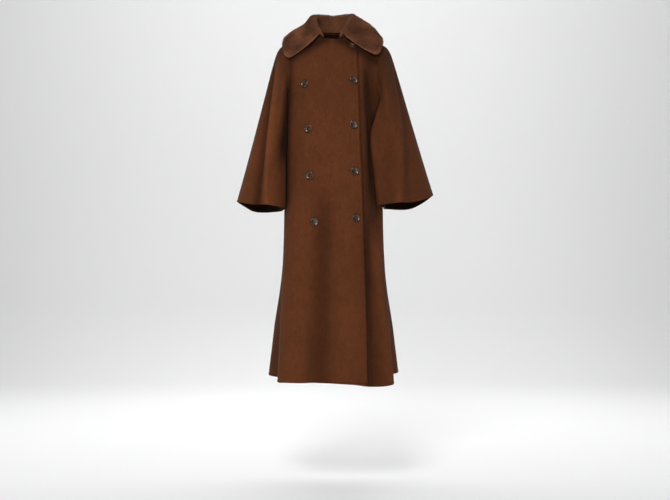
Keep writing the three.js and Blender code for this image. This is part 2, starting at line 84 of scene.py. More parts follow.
# how far each sleeve's inner front fold reaches over the body: share of the length, inwards, forwards
REACH = {
    -1: [[0, 0, 0], [0.06, 14, 6], [0.15, 20, 8], [0.3, 20, 8], [0.5, 20, 9], [0.75, 26, 11], [1, 31, 13]],
    1: [[0, 0, 0], [0.08, 12, 8], [0.18, 30, 20], [0.34, 42, 30], [0.52, 38, 26], [0.76, 27, 17], [1, 14, 8]],
}
REACH_AT, REACH_SPAN = 40.0, 26.0
# ridge down the front of each sleeve: share of the length, how far forwards
RIDGE = {
    -1: [[0, 0], [0.08, 10], [0.25, 16], [0.6, 14], [1, 9]],
    1: [[0, 0], [0.08, 10], [0.25, 16], [0.6, 12], [1, 6]],
}
RIDGE_AT, RIDGE_SPAN = {-1: 88.0, 1: 102.0}, 27.0
# skirt sides: how far the front corner stands out and the hollow behind it goes in at the hem, with depth y and width of each
SKIRT_SIDE = {-1: (7, -88, 34, -24, 2, 40), 1: (27, -84, 38, -14, 22, 36)}
# seam x, roll x y z, outer edge x y z, how full the fall is
COLLAR_LEFT = [
    [-33, -40, -107, -2, -154, -81, -78, -9],
    [-42, -48, -101, 11, -168, -66, -58, 1],
    [-54, -57, -84, 31, -174, -36, -26, 8],
    [-65, -63, -54, 53, -165, -2, 2, -2],
    [-72, -64, -10, 71, -137, 42, -8, -16],
    [-57, -52, 40, 83, -108, 72, -26, -6],
    [-30, -29, 66, 88, -66, 94, -36, 9],
]
COLLAR_BACK = [0, 0, 76, 88, 0, 102, -40, 9]
COLLAR_RIGHT = [
    [20, 26, -107, -2, 146, -83, -67, -9],
    [28, 34, -102, 12, 160, -67, -50, 1],
    [44, 44, -84, 35, 168, -34, -20, 9],
    [61, 54, -54, 58, 163, 2, 3, 14],
    [71, 58, -10, 75, 147, 44, -12, 19],
    [57, 50, 40, 85, 112, 72, -26, 17],
    [30, 29, 66, 89, 68, 94, -36, 12],
]
ROLL, PILE_STAND, PILE_FALL = 15.0, 6.0, 13.0
BUTTONS = {
    "button_right_1": (-97, -168),
    "button_left_1": (68, -157),
    "button_right_2": (-85, -322),
    "button_left_2": (68, -308),
    "button_right_3": (-81, -481),
    "button_left_3": (72, -466),
    "button_right_4": (-65, -639),
    "button_left_4": (76, -626),
}
SMALL_BUTTON = (60, -36)

# ---------------------------------------------------------------- small helpers


def mix(a, b, t):
    return a + (b - a) * t


def smooth(a, b, x):
    t = np.clip((np.asarray(x, float) - a) / (b - a), 0, 1)
    return t * t * (3 - 2 * t)


def column(table, key, c):
    t = np.array(table, float)
    up = 1.0 if t[1, 0] > t[0, 0] else -1.0
    k = t[:, 0] * up
    q = np.clip(np.asarray(key, float) * up, k[0], k[-1])
    i = np.clip(np.searchsorted(k, q, side="right") - 1, 0, len(k) - 2)
    v = t[:, c]
    idx = np.arange(len(k))
    a, b = np.maximum(0, idx - 1), np.minimum(len(k) - 1, idx + 1)
    slope = (v[b] - v[a]) / (k[b] - k[a])
    h = k[i + 1] - k[i]
    s = (q - k[i]) / h
    s2, s3 = s * s, s * s * s
    return (2 * s3 - 3 * s2 + 1) * v[i] + (s3 - 2 * s2 + s) * h * slope[i] + (3 * s2 - 2 * s3) * v[i + 1] + (s3 - s2) * h * slope[i + 1]


def section(z):
    return [column(BODY, z, c) for c in range(1, 6)]


def shoulder_z(x):
    a = np.abs(x)
    return np.where(a >= NECK_X, mix(NECK_Z, TIP_Z, (a - NECK_X) / (TIP_X - NECK_X)), NECK_Z + (NECK_X - a) * 0.9)


def face_y(face, x, z):
    half, spread, front, back, power = section(z)
    h = DOME_FRONT if face < 0 else DOME_BACK
    q = np.clip((z - shoulder_z(x) + h) / h, 0, 1)
    dome = np.sqrt(np.maximum(0, 1 - q * q))
    r = np.maximum(0, 1 - (np.abs(x) / half) ** power) ** (1 / power)
    return face * (front if face < 0 else back) * r * dome


ANG = np.concatenate([np.linspace(0, 1, 241) ** 1.6, 1 - np.linspace(0, 1, 241)[1:] ** 1.0])
_half = np.linspace(0, 1, 241) ** 1.5 * math.pi / 2


def section_line(face, z):
    half, spread, front, back, power = section(z)
    d = face * np.sin(_half) ** (2 / power)
    w = np.maximum(0, np.cos(_half)) ** (2 / power)
    x = (half + spread * d) * w
    y = d * (front if face < 0 else back)
    px = np.concatenate([-x, x[::-1][1:]])
    py = np.concatenate([y, y[::-1][1:]])
    length = np.concatenate([[0], np.cumsum(np.hypot(np.diff(px), np.diff(py)))])
    return px, py, length


def neck_front_z(x):
    side = np.where(x >= NECK_MID, NECK_X - NECK_MID, NECK_X + NECK_MID)
    return mix(NECK_FRONT_Z, NECK_Z, np.minimum(1, np.abs(x - NECK_MID) / side) ** 2.5)


def neck_back_z(x):
    return mix(NECK_BACK_Z, NECK_Z, np.minimum(1, np.abs(x) / NECK_X) ** 2)


def arm_x(face, phi):
    low = float(section(ARM_Z)[0])
    cut, s = ARM_CUT[face], np.sin(phi)
    return np.where(phi < math.pi / 2, low - cut * np.abs(s) ** 2.5, mix(low - cut, TIP_X, 1 - s))


def lift(x, z):
    e = column(EDGES, z, 2)
    return LAP * smooth(e - 34, e - 8, x)


# ---------------------------------------------------------------- creases, placed one by one
# on the front: path of (z, x), height (+ stands out, - goes in), half width; each fades at both ends
FRONT_FOLDS = [
    ([(-500, -30), (-760, -38), (-1000, -42), (-1190, -46)], -11.0, 36),
    ([(-480, -112), (-760, -124), (-1000, -132), (-1190, -138)], 9.0, 36),
    ([(-560, 44), (-850, 48), (-1190, 54)], 6.0, 34),
    ([(-600, 118), (-900, 127), (-1190, 136)], -12.0, 19),
    ([(-640, 149), (-860, 157), (-1190, 172)], 7.0, 10),
    ([(-700, 165), (-900, 173), (-1190, 190)], -7.0, 9),
    ([(-880, -84), (-1050, -82), (-1190, -78)], -3.5, 13),
    ([(-240, -128), (-420, -140), (-600, -146)], -3.5, 18),
    ([(-60, 104), (-170, 113), (-250, 122), (-345, 133), (-600, 150)], -8.0, 9),
    ([(-280, -20), (-430, -6), (-560, -20)], 3.0, 40),
    ([(-60, -118), (-150, -134), (-230, -146)], -3.5, 12),
    ([(-120, 6), (-260, 18), (-380, 8)], -2.5, 30),
    ([(-560, 16), (-720, 12), (-900, 4)], 2.5, 18),
]
# on the back: the same, gentler
BACK_FOLDS = [
    ([(-330, -70), (-700, -86), (-1190, -120)], -6.0, 34),
    ([(-380, 74), (-760, 96), (-1190, 128)], -6.5, 36),
    ([(-520, 6), (-850, -6), (-1190, -14)], 6.0, 40),
    ([(-640, -150), (-900, -168), (-1190, -186)], 5.5, 28),
    ([(-600, 150), (-900, 172), (-1190, 190)], 5.5, 26),
    ([(-150, -120), (-300, -136), (-440, -132)], -3.5, 18),
    ([(-140, 122), (-290, 138), (-430, 136)], -3.5, 16),
    ([(-700, 44), (-950, 52), (-1190, 60)], -3.5, 24),
    ([(-760, -46), (-980, -56), (-1190, -62)], 3.0, 22),
    ([(-80, -30), (-170, -60), (-240, -90)], -1.6, 22),
    ([(-90, 40), (-180, 66), (-250, 96)], -1.8, 20),
]


# painted shade in the creases beside the sleeves, down the skirt and across the chest: path, how much darker, half
# width
PAINTED_SHADE_BOTH = [
    ([(-60, -150), (-150, -155), (-240, -163), (-600, -168)], 0.85, 17),
    ([(-520, -32), (-760, -38), (-1000, -42), (-1190, -46)], 0.16, 30),
    ([(260, 0), (-240, 0)], 0.22, 140),
]
# where the collar lies over the front: its edge, seen from the front, under which its shadow is painted
COLLAR_EDGES = [
    [(-30, -14), (-90, -42), (-154, -76), (-172, -62)],
    [(18, -14), (82, -46), (146, -80), (163, -66)],
]


# painted shadow below the collar's edges, and painted shade on the fronts towards the shoulders
def painted_collar_shadow(p):
    x, z = p[..., 0], p[..., 2]
    out = np.ones_like(x)
    for line in COLLAR_EDGES:
        best = np.full_like(x, 1e9)
        for (ax, az), (bx, bz) in zip(line[:-1], line[1:]):
            t = np.clip(((x - ax) * (bx - ax) + (z - az) * (bz - az)) / ((bx - ax) ** 2 + (bz - az) ** 2), 0, 1)
            best = np.minimum(best, np.hypot(x - ax - t * (bx - ax), z - az - t * (bz - az)))
        out *= 1 - 0.72 * np.exp(-((best / 20) ** 2))
    return out * (1 - 0.4 * smooth(118, 165, np.abs(x)) * smooth(-150, -60, z))
# painted shade on the front beneath: beside the lapping edge, in the crease and hollow by the sleeve, down the skirt
# and over the whole underlap: path, how much darker, half width
PAINTED_SHADE_UNDER = [
    ([(-15, 79), (-169, 86), (-466, 97), (-627, 103), (-868, 111), (-1190, 116)], 0.55, 4.5),
    ([(-110, 108), (-170, 114), (-250, 124), (-345, 135), (-600, 150)], 0.8, 5.5),
    ([(-50, 138), (-200, 136), (-345, 148), (-560, 160)], 0.55, 22),
    ([(-600, 114), (-900, 121), (-1190, 126)], 0.38, 10),
    ([(-40, 104), (-300, 112), (-640, 122)], 0.12, 30),
]


def shade(table, x, z):
    out = np.ones_like(x)
    for path, depth, width in table:
        p = np.array(path, float)
        order = np.argsort(p[:, 0])
        zs, xs = p[order, 0], p[order, 1]
        fade = smooth(zs[-1] + 30, zs[-1] - 40 - 6 * width, z)
        if zs[0] > -1180:
            fade = fade * smooth(zs[0] - 60, zs[0] + 60, z)
        out *= 1 - depth * fade * np.exp(-(((x - np.interp(z, zs, xs)) / width) ** 2))
    return out


# painted shade in the folds' hollows and painted highlight on their crests, from how far the cloth stands off
def fold_shade_and_highlight(off):
    return 1 + np.where(off < 0, 0.028, 0.012) * off


def folds(table, x, z):
    out = np.zeros_like(x)
    for path, height, width in table:
        p = np.array(path, float)
        order = np.argsort(p[:, 0])
        zs, xs = p[order, 0], p[order, 1]
        xc = np.interp(z, zs, xs)
        top, low = zs[-1], zs[0]
        fade = smooth(top, top - 150, z) if top > -1100 else 1
        if low > -1180:
            fade = fade * smooth(low, low + 110, z)
        spread = 1 + 0.25 * smooth(-600, -1190, z)
        out += height * fade * np.exp(-(((x - xc) / (width * spread)) ** 2))
    return out


def body_relief(face, p):
    """How far the cloth stands off the plain section, along its normal."""
    x, y, z = p[..., 0], p[..., 1], p[..., 2]
    half, spread, front, back, power = section(z)
    depth = front if face < 0 else back
    w = smooth(0.18, 0.62, np.abs(y) / depth) * smooth(0, 70, shoulder_z(x) - z)
    out = w * folds(FRONT_FOLDS if face < 0 else BACK_FOLDS, x, z)
    if face < 0:
        # beside the lapping edge the front beneath falls away towards the sleeve
        out -= w * 15.0 * smooth(88, 142, x) * smooth(-20, -90, z) * smooth(-760, -600, z)
    # nothing moves at the armholes, where the sleeves are sewn in
    out *= 1 - smooth(126, 150, np.abs(x)) * smooth(-300, -245, z)
    # cloth is never dead flat
    out += w * 0.9 * np.sin(x / 47 + z / 210 + 0.6 * np.sin(z / 130)) * np.sin(z / 151 + x / 190)
    return out


def skirt_side(p):
    x, y, z = p[..., 0], p[..., 1], p[..., 2]
    sign = np.where(x < 0, -1.0, 1.0)
    k = smooth(-700, -1190, z) * smooth(80, 165, np.abs(x))
    shift = np.zeros_like(x)
    for side, (c, cy, cw, h, hy, hw) in SKIRT_SIDE.items():
        bell = c * np.exp(-(((y - cy) / cw) ** 2)) + h * np.exp(-(((y - hy) / hw) ** 2))
        shift = np.where(sign == side, bell, shift)
    return sign * k * shift


# ---------------------------------------------------------------- shells


def grid_normals(g, ring):
    if ring:
        a = np.roll(g, -1, 0) - np.roll(g, 1, 0)
    else:
        a = np.gradient(g, axis=0)
    b = np.gradient(g, axis=1)
    n = np.cross(a, b)
    return n / np.maximum(1e-9, np.linalg.norm(n, axis=-1, keepdims=True))


def make_mesh(name, verts, faces, mat=None, smooth_shade=True):
    me = bpy.data.meshes.new(name)
    me.from_pydata([tuple(v) for v in np.asarray(verts) * 0.001], [], [tuple(int(i) for i in f) for f in faces])
    me.validate()
    me.update()
    if smooth_shade:
        me.polygons.foreach_set("use_smooth", [True] * len(me.polygons))
    o = bpy.data.objects.new(name, me)
    bpy.context.scene.collection.objects.link(o)
    if mat:
        me.materials.append(mat)
    return o


def shell(name, g, n, thick, ring, mat, rim=3, reverse=None, tone=None, rim_out=0.32):
    """A closed wall: g is its outer face, the inner one lies thick under it, the rims are rounded."""
    I, J = g.shape[:2]
    t = thick if np.ndim(thick) else np.full((I, J), float(thick))
    inner = g - n * t[..., None]
    verts = [g.reshape(-1, 3), inner.reshape(-1, 3)]
    count = 2 * I * J
    F = lambda i, j: (i % I) * J + j
    N = lambda i, j: I * J + (i % I) * J + j
    faces = []
    last = I if ring else I - 1
    for i in range(last):
        for j in range(J - 1):
            faces.append((F(i, j), F(i + 1, j), F(i + 1, j + 1), F(i, j + 1)))
            faces.append((N(i, j), N(i, j + 1), N(i + 1, j + 1), N(i + 1, j)))
    # the boundary as loops of (outer, inner, outward direction)
    def strip(loop, closed):
        nonlocal count
        ids_o = [F(i, j) for i, j in loop]
        ids_i = [N(i, j) for i, j in loop]
        outs = []
        for i, j in loop:
            di = g[min(i + 1, I - 1) % I, j] - g[max(i - 1, 0), j] if not ring else g[(i + 1) % I, j] - g[(i - 1) % I, j]
            if j == 0:
                v = g[i % I, 0] - g[i % I, 1]
            elif j == J - 1:
                v = g[i % I, J - 1] - g[i % I, J - 2]
            else:
                v = np.zeros(3)
            if not ring and i == 0:
                v = v / max(1e-9, np.linalg.norm(v)) + (g[0, j] - g[1, j]) / max(1e-9, np.linalg.norm(g[0, j] - g[1, j]))
            if not ring and i == I - 1:
                v = v / max(1e-9, np.linalg.norm(v)) + (g[-1, j] - g[-2, j]) / max(1e-9, np.linalg.norm(g[-1, j] - g[-2, j]))
            outs.append(v / max(1e-9, np.linalg.norm(v)))
        rows = [ids_o]
        for k in range(1, rim + 1):
            a = math.pi * k / (rim + 1)
            row = []
            for (i, j), v in zip(loop, outs):
                o, q = g[i % I, j], inner[i % I, j]
                mid = (o + q) / 2
                half = (o - q) / 2
                row.append(mid + half * math.cos(a) + v * (t[i % I, j] * rim_out) * math.sin(a))
            verts.append(np.array(row))
            rows.append(list(range(count, count + len(row))))
            count += len(row)
        rows.append(ids_i)
        L = len(loop)
        for k in range(len(rows) - 1):
            for m in range(L if closed else L - 1):
                q = (m + 1) % L
                faces.append((rows[k][m], rows[k + 1][m], rows[k + 1][q], rows[k][q]))

    if ring:
        strip([(i, 0) for i in range(I)], True)
        strip([(I - 1 - i, J - 1) for i in range(I)], True)
    else:
        loop = [(i, 0) for i in range(I)] + [(I - 1, j) for j in range(1, J)] + [(i, J - 1) for i in range(I - 2, -1, -1)] + [(0, j) for j in range(J - 2, 0, -1)]
        strip(loop, True)
    o = make_mesh(name, np.concatenate(verts), faces, mat)
    tones = np.ones(len(o.data.vertices), np.float32)
    if tone is not None:
        tones[: I * J] = tone.reshape(-1)
        # painted highlight on the rounded rims of a piece with no inner material of its own
        if reverse is None:
            tones[2 * I * J :] = 1.45
    o.data.attributes.new("tone", "FLOAT", "POINT").data.foreach_set("value", tones)
    if reverse:
        o.data.materials.append(reverse)
        for k in range(last * (J - 1)):
            o.data.polygons[2 * k + 1].material_index = 1
    # faces outwards
    import bmesh

    bm = bmesh.new()
    bm.from_mesh(o.data)
    bmesh.ops.recalc_face_normals(bm, faces=bm.faces)
    if bm.calc_volume(signed=True) < 0:
        bmesh.ops.reverse_faces(bm, faces=bm.faces)
    bm.to_mesh(o.data)
    bm.free()
    return o


# ---------------------------------------------------------------- body panels


def spaced(total, near, step):
    """Positions from 0 to total: the given ones near the end, then even steps."""
    rest = total - near[-1]
    n = max(2, int(round(rest / step)))
    return np.concatenate([np.array(near[:-1], float), near[-1] + rest * np.linspace(0, 1, n + 1)])


EDGE_STEPS = [0, 0.6, 1.5, 3, 5, 7, 8.4, 9.2, 10, 10.8, 11.6, 13, 16, 20]


def panel(face, us, low, top, hem, arms, lifted, hem_steps):
    """us are fractions across; low(z, u) -> x, y; top(u) -> x, z."""
    low_rows = 118
    up_rows = 58
    grid = np.zeros((len(us), low_rows + up_rows + 1, 3))
    half_low = float(section(ARM_Z)[0])
    for i, u in enumerate(us):
        x0, _ = low(-1180.0, u)
        z0 = float(column(hem, x0, 1))
        span = ARM_Z - z0
        near = np.array(hem_steps)
        zs = np.concatenate([z0 + near[:-1], z0 + near[-1] + (span - near[-1]) * np.linspace(0, 1, low_rows - len(near) + 2)])[:low_rows]
        for j in range(low_rows):
            x, y = low(zs[j], u)
            grid[i, j] = (x, y, zs[j])
        lx, ly = low(ARM_Z, u)
        tx, tz = top(u)
        phi = math.pi * np.arange(up_rows + 1) / up_rows
        v = (1 - np.cos(phi)) / 2
        x = mix(lx, tx, v)
        for sign, end in arms:
            w = max(0.0, 1 - abs(u - end) / 0.45) ** 2
            x = x + w * sign * (arm_x(face, phi) - mix(half_low, TIP_X, v))
        z = mix(ARM_Z, tz, v)
        y = face_y(face, x, z)
        y[0] = ly
        grid[i, low_rows:, 0], grid[i, low_rows:, 1], grid[i, low_rows:, 2] = x, y, z
    return grid, low_rows


def seam_fix(n, g, low_rows, side_ends, face):
    for e in side_ends:
        i = -1 if e else 0
        n[i, : low_rows + 1, 1] = 0
    m = np.abs(g[:, -1, 0]) > NECK_X - 0.5
    n[m, -1, 1] = 0
    n /= np.maximum(1e-9, np.linalg.norm(n, axis=-1, keepdims=True))
    k = n.shape[0] // 2
    if n[k, 4, 1] * face < 0:
        n *= -1
    return n


def finish_panel(name, face, grid, low_rows, side_ends, lifted, mat):
    n = seam_fix(grid_normals(grid, False), grid, low_rows, side_ends, face)
    off = body_relief(face, grid)
    if lifted:
        off = off + lift(grid[..., 0], grid[..., 2])
    g = grid + n * off[..., None]
    g[..., 0] += skirt_side(g)
    n = seam_fix(grid_normals(g, False), grid, low_rows, side_ends, face)
    # the tone carries painted light: shade and highlight from the folds, painted shade in the creases, and the collar's
    # painted shadow on the fronts
    tone = fold_shade_and_highlight(body_relief(face, grid))
    if face < 0:
        tone = tone * shade(PAINTED_SHADE_BOTH if lifted else PAINTED_SHADE_BOTH[1:] + PAINTED_SHADE_UNDER, g[..., 0], g[..., 2])
    else:
        tone = tone * shade([PAINTED_SHADE_BOTH[0], ([(a, -b) for a, b in PAINTED_SHADE_BOTH[0][0]], 0.85, 17)], g[..., 0], g[..., 2])
        # painted shade on the strip of the back that the fronts' corners stand over
        tone = tone * (1 - 0.42 * smooth(-640, -900, g[..., 2]) * np.exp(-((g[..., 1] / 62) ** 2)))
    if face < 0:
        tone = tone * painted_collar_shadow(g)
    wrong = g[..., 1] * face < 0.15
    g[..., 1] = np.where(wrong, face * 0.15, g[..., 1])
    return g, n, np.clip(tone, 0.25, 1.2)


def top_path(points):
    def top(u):
        for a, b in zip(points[:-1], points[1:]):
            if u <= b[0] + 1e-9:
                t = (u - a[0]) / (b[0] - a[0])
                x = mix(a[1], b[1], t)
                return x, float(b[2](x))

    return top


def lap_low(z, u):
    px, py, ln = section_line(-1, z)
    edge = float(column(EDGES, z, 1))
    l = float(np.interp(edge, px, ln)) * u
    return float(np.interp(l, ln, px)), float(np.interp(l, ln, py))


def under_low(z, u):
    px, py, ln = section_line(-1, z)
    edge = float(column(EDGES, z, 2))
    l = mix(ln[-1], float(np.interp(edge, px, ln)), u)
    return float(np.interp(l, ln, px)), float(np.interp(l, ln, py))


def back_low(z, u):
    px, py, ln = section_line(1, z)
    l = ln[-1] * u
    return float(np.interp(l, ln, px)), float(np.interp(l, ln, py))


lap_top = top_path([(0, -TIP_X, None), (6 / 17, -NECK_X, shoulder_z), (11 / 17, NECK_MID, neck_front_z), (1, 77, lambda x: mix(NECK_FRONT_Z, -27, (x - NECK_MID) / 82))])
under_top = top_path([(0, TIP_X, None), (6 / 15, NECK_X, shoulder_z), (1, -40, neck_front_z)])
back_top = top_path([(0, -TIP_X, None), (6 / 20, -NECK_X, shoulder_z), (14 / 20, NECK_X, neck_back_z), (1, TIP_X, shoulder_z)])

# ---------------------------------------------------------------- materials


def nodes_of(mat):
    mat.use_nodes = True
    nt = mat.node_tree
    nt.nodes.clear()
    out = nt.nodes.new("ShaderNodeOutputMaterial")
    bsdf = nt.nodes.new("ShaderNodeBsdfPrincipled")
    nt.links.new(bsdf.outputs["BSDF"], out.inputs["Surface"])
    return nt, bsdf


def noise(nt, coord, scale, detail, rough=0.55, stretch=None):
    n = nt.nodes.new("ShaderNodeTexNoise")
    n.inputs["Scale"].default_value = scale
    n.inputs["Detail"].default_value = detail
    n.inputs["Roughness"].default_value = rough
    if stretch:
        m = nt.nodes.new("ShaderNodeMapping")
        m.inputs["Scale"].default_value = stretch
        nt.links.new(coord, m.inputs["Vector"])
        coord = m.outputs["Vector"]
    nt.links.new(coord, n.inputs["Vector"])
    return n.outputs["Fac"]


def math_node(nt, op, a, b):
    m = nt.nodes.new("ShaderNodeMath")
    m.operation = op
    for k, v in enumerate((a, b)):
        if isinstance(v, (int, float)):
            m.inputs[k].default_value = v
        else:
            nt.links.new(v, m.inputs[k])
    return m.outputs[0]


def ramp(nt, fac, stops):
    r = nt.nodes.new("ShaderNodeValToRGB")
    el = r.color_ramp.elements
    while len(el) > len(stops):
        el.remove(el[-1])
    while len(el) < len(stops):
        el.new(0.5)
    for e, (p, c) in zip(el, stops):
        e.position = p
        e.color = (*c, 1)
    nt.links.new(fac, r.inputs["Fac"])
    return r.outputs["Color"]


def bump(nt, bsdf, layers):
    last = None
    for height, strength, dist in layers:
        b = nt.nodes.new("ShaderNodeBump")
        b.inputs["Strength"].default_value = strength
        b.inputs["Distance"].default_value = dist
        nt.links.new(height, b.inputs["Height"])
        if last:
            nt.links.new(last, b.inputs["Normal"])
        last = b.outputs["Normal"]
    nt.links.new(last, bsdf.inputs["Normal"])


def with_painted_light(nt, colour):
    """The colour times the piece's tone attribute, which carries its painted shade and painted highlights."""
    at = nt.nodes.new("ShaderNodeAttribute")
    at.attribute_name = "tone"
    m = nt.nodes.new("ShaderNodeVectorMath")
    m.operation = "SCALE"
    nt.links.new(colour, m.inputs[0])
    nt.links.new(at.outputs["Fac"], m.inputs["Scale"])
    return m.outputs["Vector"]


WOOL = (0.091, 0.0274, 0.0091)


def wool_material(name, tone=1.0):
    mat = bpy.data.materials.new(name)
    nt, b = nodes_of(mat)
    co = nt.nodes.new("ShaderNodeTexCoord").outputs["Object"]
    # brushed nap: fine fibres lying down the cloth, cloudy patches where it is pressed, small flecks
    nap = noise(nt, co, 420, 5, 0.62, (1.0, 1.0, 0.22))
    cloud = noise(nt, co, 9, 3, 0.5)
    patch = noise(nt, co, 55, 3, 0.55, (1.0, 1.0, 0.6))
    fleck = noise(nt, co, 1500, 2, 0.6)
    f = math_node(nt, "ADD", math_node(nt, "MULTIPLY", nap, 0.45), math_node(nt, "MULTIPLY", cloud, 0.2))
    f = math_node(nt, "ADD", f, math_node(nt, "MULTIPLY", patch, 0.2))
    f = math_node(nt, "ADD", f, math_node(nt, "MULTIPLY", fleck, 0.15))
    base = np.array(WOOL) * tone
    c = ramp(nt, f, [(0.36, tuple(base * 0.72)), (0.5, tuple(base)), (0.64, tuple(base * 1.28))])
    nt.links.new(with_painted_light(nt, c), b.inputs["Base Color"])
    b.inputs["Roughness"].default_value = 0.92
    b.inputs["Specular IOR Level"].default_value = 0.1
    b.inputs["Sheen Weight"].default_value = 0.06
    b.inputs["Sheen Roughness"].default_value = 0.5
    b.inputs["Sheen Tint"].default_value = (0.6, 0.34, 0.2, 1)
    bump(nt, b, [(nap, 0.5, 0.0006), (fleck, 0.35, 0.0003), (patch, 0.25, 0.0012)])
    return mat


def fur_material(name, tone=1.0, base=(0.138, 0.0495, 0.0215)):
    mat = bpy.data.materials.new(name)
    nt, b = nodes_of(mat)
    co = nt.nodes.new("ShaderNodeTexCoord").outputs["Object"]
    fine = noise(nt, co, 900, 3, 0.6)
    tuft = noise(nt, co, 95, 4, 0.6)
    cloud = noise(nt, co, 18, 3, 0.5)
    f = math_node(nt, "ADD", math_node(nt, "MULTIPLY", fine, 0.4), math_node(nt, "MULTIPLY", tuft, 0.35))
    f = math_node(nt, "ADD", f, math_node(nt, "MULTIPLY", cloud, 0.25))
    base = np.array(base) * tone
    c = ramp(nt, f, [(0.34, tuple(base * 0.78)), (0.5, tuple(base)), (0.66, tuple(base * 1.25))])
    nt.links.new(with_painted_light(nt, c), b.inputs["Base Color"])
    b.inputs["Roughness"].default_value = 0.8
    b.inputs["Specular IOR Level"].default_value = 0.2
    b.inputs["Sheen Weight"].default_value = 0.4
    b.inputs["Sheen Roughness"].default_value = 0.35
    b.inputs["Sheen Tint"].default_value = (0.8, 0.47, 0.3, 1)
    bump(nt, b, [(fine, 0.4, 0.0008), (tuft, 0.35, 0.003)])
    return mat


def horn_material(name):
    mat = bpy.data.materials.new(name)
    nt, b = nodes_of(mat)
    co = nt.nodes.new("ShaderNodeTexCoord").outputs["Object"]
    grain = noise(nt, co, 160, 4, 0.6, (1.0, 1.0, 0.35))
    scratch = noise(nt, co, 1400, 2, 0.5, (0.2, 1.0, 1.0))
    c = ramp(nt, grain, [(0.35, (0.012, 0.0056, 0.0032)), (0.52, (0.038, 0.018, 0.0092)), (0.7, (0.125, 0.06, 0.03))])
    nt.links.new(c, b.inputs["Base Color"])
    r = ramp(nt, scratch, [(0.3, (0.14,) * 3), (0.75, (0.24,) * 3)])
    nt.links.new(r, b.inputs["Roughness"])
    b.inputs["Specular IOR Level"].default_value = 0.32
    b.inputs["Coat Weight"].default_value = 0.35
    b.inputs["Coat Roughness"].default_value = 0.08
    bump(nt, b, [(scratch, 0.08, 0.0002)])
    return mat


def thread_material(name):
    mat = bpy.data.materials.new(name)
    nt, b = nodes_of(mat)
    co = nt.nodes.new("ShaderNodeTexCoord").outputs["Object"]
    twist = noise(nt, co, 2600, 2, 0.5)
    c = ramp(nt, twist, [(0.35, (0.035, 0.013, 0.007)), (0.65, (0.09, 0.036, 0.018))])
    nt.links.new(c, b.inputs["Base Color"])
    b.inputs["Roughness"].default_value = 0.7
    bump(nt, b, [(twist, 0.5, 0.0002)])
    return mat


wool = wool_material("wool")
# the inner faces and the buttonhole slits take the wool at a tenth of its brightness
wool_darkened = wool_material("wool darkened", 0.1)
fur = fur_material("fur")
horn = horn_material("horn")
thread = thread_material("thread")

# ---------------------------------------------------------------- the body
edge_u = 1 - spaced(1.0, [s / 335 for s in EDGE_STEPS], 5.0 / 335)[::-1]
edge_u = np.clip(edge_u, 0, 1)
HEM_STEPS = [0, 0.6, 1.5, 3, 5, 7, 8.4, 9.2, 10, 10.8, 11.6, 13, 16, 20]
lap_u = np.sort(edge_u)
lap_grid, low_rows = panel(-1, lap_u, lap_low, lap_top, HEM_LAP, [(-1, 0)], True, HEM_STEPS)
lap_g, lap_n, lap_painted_light = finish_panel("right_front_cloth", -1, lap_grid, low_rows, [0], True, wool)
under_u = np.linspace(0, 1, 58)
under_grid, _ = panel(-1, under_u, under_low, under_top, HEM_UNDER, [(1, 0)], False, HEM_STEPS)
under_g, under_n, under_painted_light = finish_panel("left_front_cloth", -1, under_grid, low_rows, [0], False, wool)
back_u = np.linspace(0, 1, 92)
back_grid, _ = panel(1, back_u, back_low, back_top, HEM_BACK, [(-1, 0), (1, 1)], False, HEM_STEPS)
back_g, back_n, back_painted_light = finish_panel("back_cloth", 1, back_grid, low_rows, [0, 1], False, wool)


def edge_relief(d):
    """The finished edge: a soft roll, then the shallow line where it is hand-stitched, at 10 mm."""
    return 0.55 * np.exp(-(((d - 5) / 3.2) ** 2)) - 0.75 * np.exp(-(((d - 10) / 1.1) ** 2)) - 0.7 * np.exp(-((d / 1.0) ** 2))


def distance_rows(g, low_rows):
    seg = np.linalg.norm(np.diff(g[:, : low_rows, :], axis=1), axis=-1)
    return np.concatenate([np.zeros((g.shape[0], 1)), np.cumsum(seg, 1)], 1)


def relieve(g, n, free_end):
    d = distance_rows(g, low_rows)
    r = np.zeros(g.shape[:2])
    r[:, :low_rows] += edge_relief(d)
    if free_end:
        seg = np.linalg.norm(np.diff(g, axis=0), axis=-1)
        de = np.concatenate([np.cumsum(seg[::-1], 0)[::-1], np.zeros((1, g.shape[1]))], 0)
        near = de < 40
        r = np.where(near, np.where(np.abs(edge_relief(de)) > np.abs(r), edge_relief(de), r), r)
    return g + n * r[..., None]


lap_g = relieve(lap_g, lap_n, True)
under_g = relieve(under_g, under_n, False)
back_g = relieve(back_g, back_n, False)
right_front = shell("right_front_cloth", lap_g, lap_n, WALL, False, wool, reverse=wool_darkened, tone=lap_painted_light)
left_front = shell("left_front_cloth", under_g, under_n, WALL, False, wool, reverse=wool_darkened, tone=under_painted_light)
back = shell("back_cloth", back_g, back_n, WALL, False, wool, reverse=wool_darkened, tone=back_painted_light)

